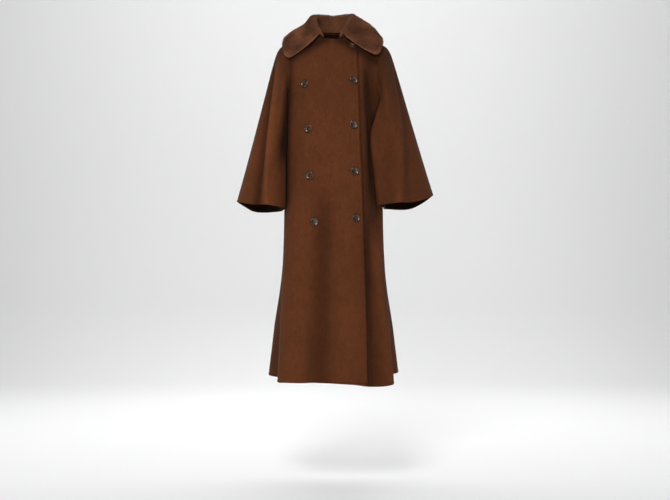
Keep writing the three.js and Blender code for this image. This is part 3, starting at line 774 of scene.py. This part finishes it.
# ---------------------------------------------------------------- sleeves
# around: angle path (t, degrees from the lowest seam; front is 0..180), height, half width in degrees
SLEEVE_FOLDS = {
    -1: [
        ([(0.02, 160), (0.2, 137), (0.45, 113), (0.7, 91), (1.0, 73)], 11.0, 9),
        ([(0.04, 174), (0.2, 151), (0.45, 128), (0.7, 107), (1.0, 90)], -14.0, 13),
        ([(0.35, 156), (1.0, 130)], 5.0, 15),
        ([(0.05, 52), (0.4, 50), (1.0, 46)], -5.0, 12),
        ([(0.1, 236), (0.5, 232), (1.0, 226)], -8.0, 17),
        ([(0.2, 268), (0.6, 270), (1.0, 272)], 7.0, 18),
        ([(0.3, 306), (0.7, 302), (1.0, 300)], -6.0, 15),
    ],
    1: [
        ([(0.02, 162), (0.2, 146), (0.45, 124), (0.7, 98), (1.0, 76)], 6.5, 8),
        ([(0.04, 176), (0.2, 160), (0.45, 139), (0.7, 114), (1.0, 93)], -7.0, 12),
        ([(0.35, 92), (0.6, 76), (1.0, 54)], -4.0, 11),
        ([(0.5, 150), (1.0, 136)], 3.5, 14),
        ([(0.1, 232), (0.5, 236), (1.0, 238)], -8.0, 17),
        ([(0.2, 272), (0.6, 266), (1.0, 262)], 7.0, 18),
        ([(0.3, 308), (0.7, 306), (1.0, 304)], -6.0, 15),
    ],
}


def clear_of_body(p, by):
    z = p[..., 2]
    half, spread, front, back_d, power = section(z)
    depth = np.where(p[..., 1] < 0, front, back_d)
    d = np.clip(p[..., 1] / depth, -1, 1)
    A, B = half + spread * d + by, depth + by
    f = (np.abs(p[..., 0]) / A) ** power + (np.abs(p[..., 1]) / B) ** power
    k = np.where((f < 1) & (z < ARM_Z + 115), np.maximum(f, 1e-6) ** (-1 / power), 1.0)
    q = p.copy()
    q[..., 0] *= k
    q[..., 1] *= k
    return q


def sleeve(sign):
    c = CUFF[sign]
    A = 192
    span = 600.0
    near = np.array([0, 0.6, 1.5, 3, 5, 7, 8.4, 9.2, 10, 10.8, 11.6, 13, 16, 20]) / span
    ts = 1 - np.concatenate([near[:-1], near[-1] + (1 - near[-1]) * np.linspace(0, 1, 84) ** 1.15])
    ts = np.sort(np.clip(ts, 0, 1))
    a = 2 * math.pi * np.arange(A) / A
    face = np.where(a <= math.pi, -1, 1)
    phi = np.where(a <= math.pi, a, 2 * math.pi - a)
    z = mix(ARM_Z, TIP_Z, (1 - np.cos(phi)) / 2)
    x = np.where(face < 0, arm_x(-1, phi), arm_x(1, phi))
    y = np.where(face < 0, face_y(-1, x, z), face_y(1, x, z))
    y = np.where((phi < 1e-6) | (phi > math.pi - 1e-6), 0, y)
    start = np.stack([sign * x, y, z], -1)
    # the panel's own normal at the armhole
    e = 1.5
    def gn(f, xx, zz):
        gx = (face_y(f, xx + e, zz) - face_y(f, xx - e, zz)) / (2 * e)
        gz = (face_y(f, xx, zz + e) - face_y(f, xx, zz - e)) / (2 * e)
        v = np.stack([-sign * gx * f, np.full_like(xx, f), -gz * f], -1)
        return v / np.linalg.norm(v, axis=-1, keepdims=True)

    xs, zs = np.minimum(x, TIP_X), z
    n0 = np.where((face < 0)[:, None], gn(-1, xs, zs), gn(1, xs, zs)) * np.array([1, 1, 1.0])
    n0[..., 1] = np.abs(n0[..., 1]) * face
    tipw = smooth(0.86, 1.0, phi / math.pi)[:, None]
    n0 = n0 * (1 - tipw) + np.array([sign * 0.38, 0, 0.92]) * tipw
    n0 /= np.linalg.norm(n0, axis=-1, keepdims=True)
    s, k = np.sin(a), np.cos(a)
    end = np.stack([
        c["x"] - sign * k * c["rx"],
        c["y"] - s * c["ry"],
        s * s * np.where(s > 0, c["front"], c["back"]) + k * k * np.where(k < 0, c["outer"], c["inner"]),
    ], -1)
    start = start + np.array([sign * 0.35, 0, 0])
    start[:, 2] += 0.35 * (1 + np.cos(phi)) / 2
    T = ts[None, :]
    g = start[:, None, :] * (1 - T[..., None]) + end[:, None, :] * T[..., None]
    out = CAP[sign] * (1 - np.exp(-T / 0.035)) * (1 - T) ** 1.3 * np.maximum(0, -k)[:, None] ** 1.2
    g[..., 0] += sign * (out + 9 * np.sin(phi)[:, None] * (1 - np.exp(-T / 0.02)) * np.exp(-T / 0.25))
    g[..., 2] += 0.35 * out * (1 - T) * np.exp(-T / 0.08)
    w = np.exp(-(((np.degrees(a)[:, None] - REACH_AT) / REACH_SPAN) ** 2))
    g[..., 0] -= sign * w * column(REACH[sign], T, 1)
    g[..., 1] -= w * column(REACH[sign], T, 2)
    g[..., 1] -= np.exp(-(((np.degrees(a)[:, None] - RIDGE_AT[sign]) / RIDGE_SPAN) ** 2)) * column(RIDGE[sign], T, 1)
    g = np.where((T > 0)[..., None], clear_of_body(g, 1.1 + 4 * smooth(0, 0.18, T)), g)

    def outward(g):
        n = grid_normals(g, True)
        if n[A // 2, 40, 0] * sign < 0:
            n = -n
        return n

    n = outward(g)
    deg = np.degrees(a)[:, None]
    off = np.zeros(g.shape[:2])
    for path, height, width in SLEEVE_FOLDS[sign]:
        p = np.array(path, float)
        ac = np.interp(ts, p[:, 0], p[:, 1])[None, :]
        fade = smooth(p[0, 0], p[0, 0] + 0.22, T) * (0.55 + 0.45 * T)
        off += height * fade * np.exp(-(((deg - ac) / width) ** 2))
    # painted shade in the sleeve's hollows and painted highlight on its ridges; below it more painted shade, and a
    # painted highlight along the right sleeve's crest
    tone = np.clip(1 + np.where(off < 0, 0.034, 0.024) * off, 0.4, 1.3)
    if sign > 0:
        tone = tone * 0.86 * (1 - 0.14 * smooth(96, 140, deg) * (1 - smooth(230, 260, deg)))
    else:
        # the inner fold turns in below the armhole, in deep shade down to mid sleeve
        tone = tone * (1 - 0.86 * (1 - smooth(54, 82, deg)) * smooth(0.02, 0.12, T) * (1 - smooth(0.42, 0.78, T)))
        crest = np.interp(ts, [0.02, 0.2, 0.45, 0.7, 1.0], [152, 129, 104, 83, 66])[None, :]
        tone = tone * (1 + 0.28 * np.exp(-(((deg - crest) / 12) ** 2)) * smooth(0.02, 0.12, T))
        tone = tone * (1 - 0.2 * np.exp(-(((deg - crest - 28) / 13) ** 2)) * smooth(0.02, 0.12, T))
    tone = tone * (1 - 0.34 * np.exp(-(((deg - 176) / 34) ** 2)) * (1 - smooth(0.2, 0.75, T)))
    tone = tone * (1 - 0.42 * np.exp(-T / 0.11))
    # the turned-in faces beside the body and the rim under the armhole lie in shade
    tone = tone * (1 - 0.8 * np.exp(-(((deg - 10) / 24) ** 2)) - 0.8 * np.exp(-(((deg - 370) / 24) ** 2)))
    off += 0.8 * np.sin(a)[:, None] ** 2 * np.sin(T * 14 + a[:, None] * 3) * smooth(0.05, 0.3, T)
    dist = (1 - T) * span
    off += edge_relief(dist)
    g = g + n * off[..., None]
    n = outward(g)
    for _ in range(2):
        inside = g - n * WALL
        push = clear_of_body(inside, 1 + 1.8 * smooth(0, 0.1, T)) - inside
        push[:, 0] = 0
        g = g + push
        push = clear_of_body(g, 0.9) - g
        push[:, 0] = 0
        g = g + push
    n = outward(g)
    w = (smooth(0.1, 0.5, phi / math.pi)[:, None] * np.exp(-T / 0.02))[..., None]
    n = n * (1 - w) + n0[:, None, :] * w
    n /= np.linalg.norm(n, axis=-1, keepdims=True)
    return g, n, np.clip(tone, 0.15, 1.5)


sleeves = {}
for sign, name in ((-1, "right_sleeve"), (1, "left_sleeve")):
    g, n, tone = sleeve(sign)
    sleeves[name] = shell(name + "_cloth", g, n, WALL, True, wool, reverse=wool_darkened, tone=tone)

# ---------------------------------------------------------------- collar


def catmull(points, s):
    """Centripetal-like smooth line through the rows of points at s in 0..1."""
    p = np.array(points, float)
    k = np.arange(len(p))
    t = np.asarray(s) * (len(p) - 1)
    return np.stack([column(np.column_stack([k, p[:, c]]), t, 1) for c in range(p.shape[1])], -1)


def collar_grid(cols, fall_steps, roll_steps=7):
    rows = COLLAR_LEFT + [COLLAR_BACK] + COLLAR_RIGHT[::-1]
    rows = np.array(rows, float)
    s = np.linspace(0, 1, cols + 1)
    x = column(np.column_stack([np.arange(len(rows)), rows[:, 0]]), s * (len(rows) - 1), 1)
    r = catmull(rows[:, 1:4], s)
    e = catmull(rows[:, 4:7], s)
    full = catmull(rows[:, 7:8], s)
    w = smooth(3.2 / 14, 4.6 / 14, s) * (1 - smooth(9.4 / 14, 10.8 / 14, s))
    zf, zb = neck_front_z(x), neck_back_z(x)
    a = np.stack([x, mix(face_y(-1, x, zf), face_y(1, x, zb), w), mix(zf, zb, w) + 5], -1)
    out = e - r
    out[:, 2] = 0
    out /= np.linalg.norm(out, axis=-1, keepdims=True)
    r2 = r + out * ROLL
    # the front corners are rounded off
    near = np.minimum(s, 1 - s) / 0.055
    reach = 1 - 0.07 * (1 - np.sqrt(np.clip(1 - (1 - np.clip(near, 0, 1)) ** 2, 0, 1)))
    lines = []
    for t in np.linspace(0, 1, 9)[:-1]:
        lines.append(mix(a, r, t))
    for q in range(roll_steps + 1):
        ang = math.pi * q / roll_steps
        mid = (r + r2) / 2
        p = mid - (r2 - r) / 2 * math.cos(ang)
        p = p + np.array([0, 0, ROLL * 0.42]) * math.sin(ang)
        lines.append(p)
    for k in range(1, fall_steps + 1):
        t = k / fall_steps
        p = r2 + (e - r2) * (t * reach)[:, None]
        bulge = full * math.sin(math.pi * t)
        p = p + out * np.maximum(0, bulge) * 0.6
        p[:, 2] += bulge[:, 0] * 0.6
        lines.append(p)
    g = np.stack(lines, 1)
    return g, s, 8 + roll_steps


collar_g, collar_s, roll_j = collar_grid(150, 44)
collar_n = grid_normals(collar_g, False)
if collar_n[75, 40, 1] < 0:
    collar_n *= -1
under_collar = shell("under_collar_cloth", collar_g, collar_n, WALL, False, wool)


def collar_pile():
    I, J = collar_g.shape[:2]
    j = np.arange(J)
    # distance from each edge along the surface, to round the plush off towards it
    seg = np.linalg.norm(np.diff(collar_g, axis=1), axis=-1)
    d = np.concatenate([np.zeros((I, 1)), np.cumsum(seg, 1)], 1)
    to_edge = d[:, -1:] - d
    ends = np.linalg.norm(np.diff(collar_g, axis=0), axis=-1)
    de = np.concatenate([np.zeros((1, J)), np.cumsum(ends, 0)], 0)
    end = np.minimum(de, de[-1:] - de)
    round_off = lambda q, r: np.sqrt(np.clip(1 - (1 - np.clip(q / r, 0, 1)) ** 2, 0, 1))
    along = mix(PILE_STAND, PILE_FALL, smooth(6, roll_j + 2, j))[None, :]
    ss = collar_s[:, None] * 14
    # thinner where the fall lies flat over the shoulder at -X
    along = along * (1 - 0.38 * smooth(2.9, 3.4, ss) * (1 - smooth(4.8, 6.2, ss)) * smooth(roll_j, roll_j + 14, j)[None, :])
    t = along * (0.5 + 0.5 * round_off(to_edge, 13)) * (0.5 + 0.5 * round_off(end, 13)) * (0.3 + 0.7 * round_off(d, 12))
    return t


pile = collar_pile()
PILE_SKIN = 0.62   # how much of the pile's reach is the dense body of the plush; strands make the rest
body_t = 0.4 + pile * PILE_SKIN
lump = 0.6 * np.sin(collar_s[:, None] * 61 + np.arange(collar_g.shape[1])[None, :] * 0.5) * np.sin(collar_s[:, None] * 23 + np.arange(collar_g.shape[1])[None, :] * 0.23)
J_last = collar_g.shape[1] - 1
jj = np.arange(J_last + 1)[None, :]
ss = collar_s[:, None] * 14
fall = (jj - roll_j) / (J_last - roll_j)
lines = [
    # how deep, where it starts and ends along the collar, and between which shares of the fall
    (6.0, 3.75, 3.0, 0.3, 1.0, 0.22),
    (3.0, 1.2, 2.4, 0.15, 0.85, 0.34),
    (2.2, 0.3, 1.2, 0.4, 0.95, 0.22),
    (3.0, 12.1, 11.2, 0.2, 0.9, 0.36),
    (2.6, 13.4, 12.6, 0.4, 0.95, 0.26),
    (3.5, 10.2, 10.6, 0.35, 1.0, 0.30),
    (2.4, 7.0, 7.1, 0.3, 1.0, 0.36),
]
crease = np.zeros_like(lump)
for depth, s0, s1, f0, f1, wide in lines:
    at_s = s0 + (s1 - s0) * np.clip((fall - f0) / (f1 - f0), 0, 1)
    fade = smooth(f0 - 0.12, f0 + 0.15, fall) * (1 - (smooth(f1 - 0.05, f1 + 0.12, fall) if f1 < 1 else 0))
    crease = crease + depth * fade * np.exp(-(((ss - at_s) / wide) ** 2))
swell = 1.3 * np.sin(ss * 2.3 + 0.8) * np.sin(fall * 7 + ss) * smooth(0, 0.2, fall)
lump = np.maximum(lump - crease + swell, 0.6 - 0.62 * pile)
# painted shade in the plush's creases, painted highlight on its swells and in two broad bands
fur_painted_light = np.clip(1.0 - 0.06 * crease + 0.24 * swell, 0.42, 1.5)
fur_painted_light = fur_painted_light * (1 + 0.6 * np.exp(-(((ss - 2.3) / 1.1) ** 2)) * np.exp(-(((fall - 0.42) / 0.17) ** 2)))
fur_painted_light = fur_painted_light * (1 + 0.5 * np.exp(-(((ss - 10.4) / 1.3) ** 2)) * np.exp(-(((fall - 0.14) / 0.22) ** 2)))
# painted highlight along the fall's edge, where the pile stands up, and painted shade near the roll
fur_painted_light = fur_painted_light * (1 + 0.5 * smooth(0.88, 1.0, fall)) * (1 - 0.25 * np.exp(-(((fall - 0.02) / 0.2) ** 2)))
fur_outer = collar_g + collar_n * (body_t + lump * smooth(2, 7, pile))[..., None]
fur_body = shell("fur_collar_plush", fur_outer, collar_n, (body_t + lump * smooth(2, 7, pile)) - 0.4, False, fur, rim=6, tone=fur_painted_light, rim_out=0.75)


def strands(surface, normals, reach, count, name):
    """Short lying fibres as tapered blades, scattered over the surface."""
    I, J = surface.shape[:2]
    seg_i = np.linalg.norm(surface[1:, :-1] - surface[:-1, :-1], axis=-1)
    seg_j = np.linalg.norm(surface[:-1, 1:] - surface[:-1, :-1], axis=-1)
    area = (seg_i * seg_j).ravel()
    pick = rng.choice(area.size, count, p=area / area.sum())
    i, j = pick // (J - 1), pick % (J - 1)
    fi, fj = rng.random(count)[:, None], rng.random(count)[:, None]

    def at(arr):
        arr = arr if arr.ndim == 3 else arr[..., None]
        return (arr[i, j] * (1 - fi) + arr[i + 1, j] * fi) * (1 - fj) + (arr[i, j + 1] * (1 - fi) + arr[i + 1, j + 1] * fi) * fj

    p, n, r = at(surface), at(normals), at(reach)
    n /= np.linalg.norm(n, axis=-1, keepdims=True)
    along = surface[i, j + 1] - surface[i, j]
    along /= np.maximum(1e-9, np.linalg.norm(along, axis=-1, keepdims=True))
    wild = rng.normal(0, 1, (count, 3))
    lie = along * 0.55 + wild * 0.42
    lie -= n * np.sum(lie * n, -1, keepdims=True)
    length = r * rng.uniform(0.75, 1.15, (count, 1))
    mid = p + n * length * 0.6 + lie * length * 0.25
    tip = p + n * length * 0.92 + lie * length * 0.75
    side = np.cross(lie + n * 0.4, rng.normal(0, 1, (count, 3)))
    side /= np.maximum(1e-9, np.linalg.norm(side, axis=-1, keepdims=True))
    width = rng.uniform(0.22, 0.42, (count, 1))
    v = np.stack([p - side * width - n * 0.8, p + side * width - n * 0.8, mid + side * width * 0.8, mid - side * width * 0.8, tip], 1)
    base = 5 * np.arange(count)[:, None]
    quads = base + np.array([0, 1, 2, 3])
    tris = base + np.array([3, 2, 4])
    faces = [tuple(q) for q in quads.tolist()] + [tuple(q) for q in tris.tolist()]
    o = make_mesh(name, v.reshape(-1, 3), faces, fur, False)
    tones = np.repeat(at(fur_painted_light)[:, 0] * rng.uniform(0.85, 1.2, count), 5).astype(np.float32)
    o.data.attributes.new("tone", "FLOAT", "POINT").data.foreach_set("value", tones)
    return o


fur_hair = None
reach = np.maximum(0.5, pile * (1 - PILE_SKIN) + 0.6)
fur_hair = strands(fur_outer, collar_n, reach, 56000, "fur_collar_pile")

# ---------------------------------------------------------------- buttons


def lap_surface(x, z):
    """Outer face of the lapping front at (x, z), with its normal, from the finished grid."""
    d = (lap_g[..., 0] - x) ** 2 + (lap_g[..., 2] - z) ** 2
    i, j = np.unravel_index(np.argmin(d), d.shape)
    n = lap_n[i, j]
    p = lap_g[i, j].copy()
    # along the tangent plane to the exact place
    dy = (n[0] * (p[0] - x) + n[2] * (p[2] - z)) / n[1]
    return np.array([x, p[1] + dy, z]), n / np.linalg.norm(n)


def button_mesh(name, d, t, hole_r, hole_at):
    """A turned four-hole button, axis +Z, back at 0."""
    r = d / 2
    prof = [(0, 0.0), (r * 0.5, 0.0), (r * 0.74, 0.08), (r * 0.9, t * 0.2), (r * 0.985, t * 0.42), (r, t * 0.6), (r * 0.985, t * 0.78),
            (r * 0.945, t * 0.92), (r * 0.885, t), (r * 0.82, t * 0.985), (r * 0.76, t * 0.9), (r * 0.7, t * 0.76), (r * 0.64, t * 0.66), (r * 0.55, t * 0.6), (r * 0.3, t * 0.585), (0, t * 0.58)]
    seg = 56
    verts, faces = [], []
    ring = []
    for k, (pr, pz) in enumerate(prof):
        if pr == 0:
            ring.append([len(verts)])
            verts.append((0, 0, pz))
        else:
            ids = []
            for q in range(seg):
                a = 2 * math.pi * q / seg
                ids.append(len(verts))
                verts.append((pr * math.cos(a), pr * math.sin(a), pz))
            ring.append(ids)
    for a, b in zip(ring[:-1], ring[1:]):
        for q in range(seg):
            q2 = (q + 1) % seg
            if len(a) == 1:
                faces.append((a[0], b[q2], b[q]))
            elif len(b) == 1:
                faces.append((a[q], a[q2], b[0]))
            else:
                faces.append((a[q], a[q2], b[q2], b[q]))
    o = make_mesh(name, verts, faces, horn)
    cut_v, cut_f = [], []
    for k in range(4):
        a = math.pi / 4 + k * math.pi / 2
        cx, cy = hole_at * math.cos(a), hole_at * math.sin(a)
        m = len(cut_v)
        S = 16
        for zz in (-2.0, t + 2.0):
            for q in range(S):
                b = 2 * math.pi * q / S
                cut_v.append((cx + hole_r * math.cos(b), cy + hole_r * math.sin(b), zz))
        for q in range(S):
            q2 = (q + 1) % S
            cut_f.append((m + q, m + q2, m + S + q2, m + S + q))
        cut_f.append(tuple(m + q for q in range(S))[::-1])
        cut_f.append(tuple(m + S + q for q in range(S)))
    cutter = make_mesh(name + "_cut", cut_v, cut_f)
    mod = o.modifiers.new("holes", "BOOLEAN")
    mod.operation, mod.object, mod.solver = "DIFFERENCE", cutter, "EXACT"
    me = bpy.data.meshes.new_from_object(o.evaluated_get(bpy.context.evaluated_depsgraph_get()))
    bpy.data.objects.remove(o)
    bpy.data.objects.remove(cutter)
    for p in me.polygons:
        p.use_smooth = True
    return me


def tube(verts, faces, a, b, r, seg=8):
    a, b = np.array(a, float), np.array(b, float)
    d = (b - a) / np.linalg.norm(b - a)
    u = np.cross(d, [0.3, 0.2, 0.9])
    u /= np.linalg.norm(u)
    w = np.cross(d, u)
    rows = []
    for t, k in ((0, 0.35), (0.08, 0.85), (0.3, 1.0), (0.7, 1.0), (0.92, 0.85), (1, 0.35)):
        row = []
        for q in range(seg):
            g = 2 * math.pi * q / seg
            row.append(len(verts))
            verts.append(tuple(mix(a, b, t) + (u * math.cos(g) + w * math.sin(g)) * r * k))
        rows.append(row)
    for r0, r1 in zip(rows[:-1], rows[1:]):
        for q in range(seg):
            q2 = (q + 1) % seg
            faces.append((r0[q], r0[q2], r1[q2], r1[q]))
    faces.append(tuple(rows[0][::-1]))
    faces.append(tuple(rows[-1]))


big = button_mesh("big_button", 28.0, 4.6, 1.25, 3.0)
small = button_mesh("small_button", 18.0, 3.6, 0.85, 2.0)
thread_v, thread_f = [], []
button_objects = {}
for name, (x, z) in {**BUTTONS, "button_neck": SMALL_BUTTON}.items():
    is_small = name == "button_neck"
    p, n = lap_surface(x, z)
    o = bpy.data.objects.new(name + "_horn", small if is_small else big)
    bpy.context.scene.collection.objects.link(o)
    q = Vector((0, 0, 1)).rotation_difference(Vector(n))
    turn = rng.uniform(-0.35, 0.35)
    tilt = Vector((1, 0, 0)).rotation_difference(Vector((1, 0, 0)))
    from mathutils import Quaternion

    q = q @ Quaternion((0, 0, 1), turn)
    o.rotation_mode = "QUATERNION"
    o.rotation_quaternion = q
    o.location = Vector(p * 0.001) + Vector(n) * 0.0009
    button_objects[name] = o
    t, at = (3.6, 2.0) if is_small else (4.6, 3.0)
    local = [at * 0.7071 * np.array(c) for c in ((1, 1), (-1, 1), (-1, -1), (1, -1))]
    for a, b in ((0, 2), (1, 3)):
        for s in (-0.28, 0.28):
            d = np.array([-(local[b] - local[a])[1], (local[b] - local[a])[0]])
            d = d / np.linalg.norm(d) * s
            lift_z = t * 0.58 + 0.35 + (0.25 if a else 0)
            pa = np.append(local[a] + d, lift_z)
            pb = np.append(local[b] + d, lift_z)
            wa = np.array(q @ Vector(pa)) + p + n * 0.9
            wb = np.array(q @ Vector(pb)) + p + n * 0.9
            tube(thread_v, thread_f, wa, wb, 0.3)
    # shank of thread between cloth and button
    tube(thread_v, thread_f, p - n * 0.4, p + n * 1.6, 1.6)
threads = make_mesh("button_threads", thread_v, thread_f, thread)

# ---------------------------------------------------------------- hand stitches along the finished edges
stitch_v, stitch_f = [], []
slit_v, slit_f = [], []


def stitch_line(points, normals, pitch, length, r):
    seg = np.linalg.norm(np.diff(points, axis=0), axis=-1)
    d = np.concatenate([[0], np.cumsum(seg)])
    at = np.arange(pitch, d[-1] - pitch, pitch)
    for k, q in enumerate(at):
        jitter = rng.uniform(-0.25, 0.25)
        ends = []
        for qq in (q + jitter - length / 2, q + jitter + length / 2):
            p = np.array([np.interp(qq, d, points[:, c]) for c in range(3)])
            n = np.array([np.interp(qq, d, normals[:, c]) for c in range(3)])
            ends.append(p + n * 0.05)
        tube(stitch_v, stitch_f, ends[0], ends[1], r, 5)


col = int(np.argmin(np.abs(np.array(lap_u) - (1 - 10 / 335))))
stitch_line(lap_g[col, 14:, :], lap_n[col, 14:, :], 7.5, 2.2, 0.28)

# ---------------------------------------------------------------- buttonholes beside the buttons that fasten
for name, (x, z) in BUTTONS.items():
    if "left" not in name:
        continue
    half_len, half_wide = 17.0, 1.5
    for k in range(74):
        q = k / 74 * 2 * math.pi
        # once round a narrow slot that ends under the button
        u = max(-1.0, min(1.0, 1.25 * math.cos(q)))
        v = math.sin(q)
        cx, cz = x - 9.0 + half_len * u, z + half_wide * (v if abs(u) > 0.96 else math.copysign(1, v))
        ox, oz = (0.9 * u if abs(u) > 0.96 else 0.0), 1.25 * (v if abs(u) > 0.96 else math.copysign(1, v))
        pa, na = lap_surface(cx - ox * 0.3, cz - oz * 0.3)
        pb, nb = lap_surface(cx + ox, cz + oz)
        tube(stitch_v, stitch_f, pa - na * 0.1, pb - nb * 0.1, 0.33, 5)
    pa, na = lap_surface(x - 9.0 - half_len, z)
    pb, nb = lap_surface(x - 9.0 + half_len, z)
    tube(slit_v, slit_f, pa, pb, 0.85, 6)
slits = make_mesh("buttonhole_slits", slit_v, slit_f, wool_darkened)
slits.data.attributes.new("tone", "FLOAT", "POINT").data.foreach_set("value", np.ones(len(slits.data.vertices), np.float32))

# ---------------------------------------------------------------- edge stitches; the CAD parts these pieces replace are hidden, every piece hangs from the root
stitches = make_mesh("edge_stitches", stitch_v, stitch_f, thread)
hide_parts("back_panel")
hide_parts("right_front")
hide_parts("left_front")
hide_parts("right_sleeve")
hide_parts("left_sleeve")
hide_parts("under_collar")
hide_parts("fur_collar")
for name, o in button_objects.items():
    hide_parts(name)
everything = [back, right_front, left_front, *sleeves.values(), under_collar, fur_body, threads, stitches, slits, *button_objects.values()]
if fur_hair:
    everything.append(fur_hair)
for o in everything:
    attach(o, "root")

# ---------------------------------------------------------------- studio
FLOOR_Z = -1.568


def light(name, loc, aim, size, power, colour=(1, 1, 1), size_y=None):
    l = bpy.data.lights.new(name, "AREA")
    l.energy = power
    l.size = size
    l.color = colour
    if size_y:
        l.shape = "RECTANGLE"
        l.size_y = size_y
    o = bpy.data.objects.new(name, l)
    bpy.context.scene.collection.objects.link(o)
    o.location = loc
    o.rotation_euler = (Vector(aim) - Vector(loc)).to_track_quat("-Z", "Y").to_euler()
    return o


def pale(name, value):
    mat = bpy.data.materials.new(name)
    nt, b = nodes_of(mat)
    b.inputs["Base Color"].default_value = (value, value, value, 1)
    b.inputs["Roughness"].default_value = 0.95
    b.inputs["Specular IOR Level"].default_value = 0.1
    return mat


def backdrop():
    """Floor that sweeps up into a wall far behind."""
    prof = [(-9000, 0), (3000, 0)]
    for k in range(1, 13):
        a = math.pi / 2 * k / 12
        prof.append((3000 + 1500 * math.sin(a), 1500 * (1 - math.cos(a))))
    prof.append((4500, 9000))
    verts, faces = [], []
    for y, z in prof:
        verts += [(-9000, y, FLOOR_Z * 1000 + z), (9000, y, FLOOR_Z * 1000 + z)]
    for k in range(len(prof) - 1):
        faces.append((2 * k, 2 * k + 1, 2 * k + 3, 2 * k + 2))
    return make_mesh("studio_sweep", verts, faces, pale("sweep", 0.82))


sweep = backdrop()
light("key", (-0.7, -3.75, 1.75), (0, 0, -0.62), 1.2, 122)
light("fill", (0.6, -4.4, -0.4), (0, 0, -0.8), 2.0, 24)
light("strip", (-0.28, -4.3, 0.05), (0, 0, -0.4), 0.16, 11, size_y=1.25)
light("behind", (0, 2.9, 1.0), (0, 0, -0.6), 1.4, 34)
light("side_right", (-3.0, 1.1, 0.4), (0, 0, -0.6), 1.2, 14)
light("side_left", (3.0, 1.1, 0.4), (0, 0, -0.6), 1.2, 14)
light("wall", (0, 1.4, 2.4), (0, 4.4, -0.4), 4.0, 100)
world = bpy.data.worlds.new("world")
bpy.context.scene.world = world
world.use_nodes = True
world.node_tree.nodes["Background"].inputs["Color"].default_value = (0.95, 0.96, 1.0, 1)
world.node_tree.nodes["Background"].inputs["Strength"].default_value = 0.19

cam_data = bpy.data.cameras.new("camera")
cam_data.lens = 62.92
cam_data.sensor_width = 36
cam_data.clip_end = 60
cam = bpy.data.objects.new("camera", cam_data)
bpy.context.scene.collection.objects.link(cam)
cam.location = (0.005, -4.1, -0.735)
cam.rotation_euler = (math.pi / 2, 0, 0)
bpy.context.scene.camera = cam
bpy.context.scene.view_settings.view_transform = "Standard"
bpy.context.scene.view_settings.look = "None"
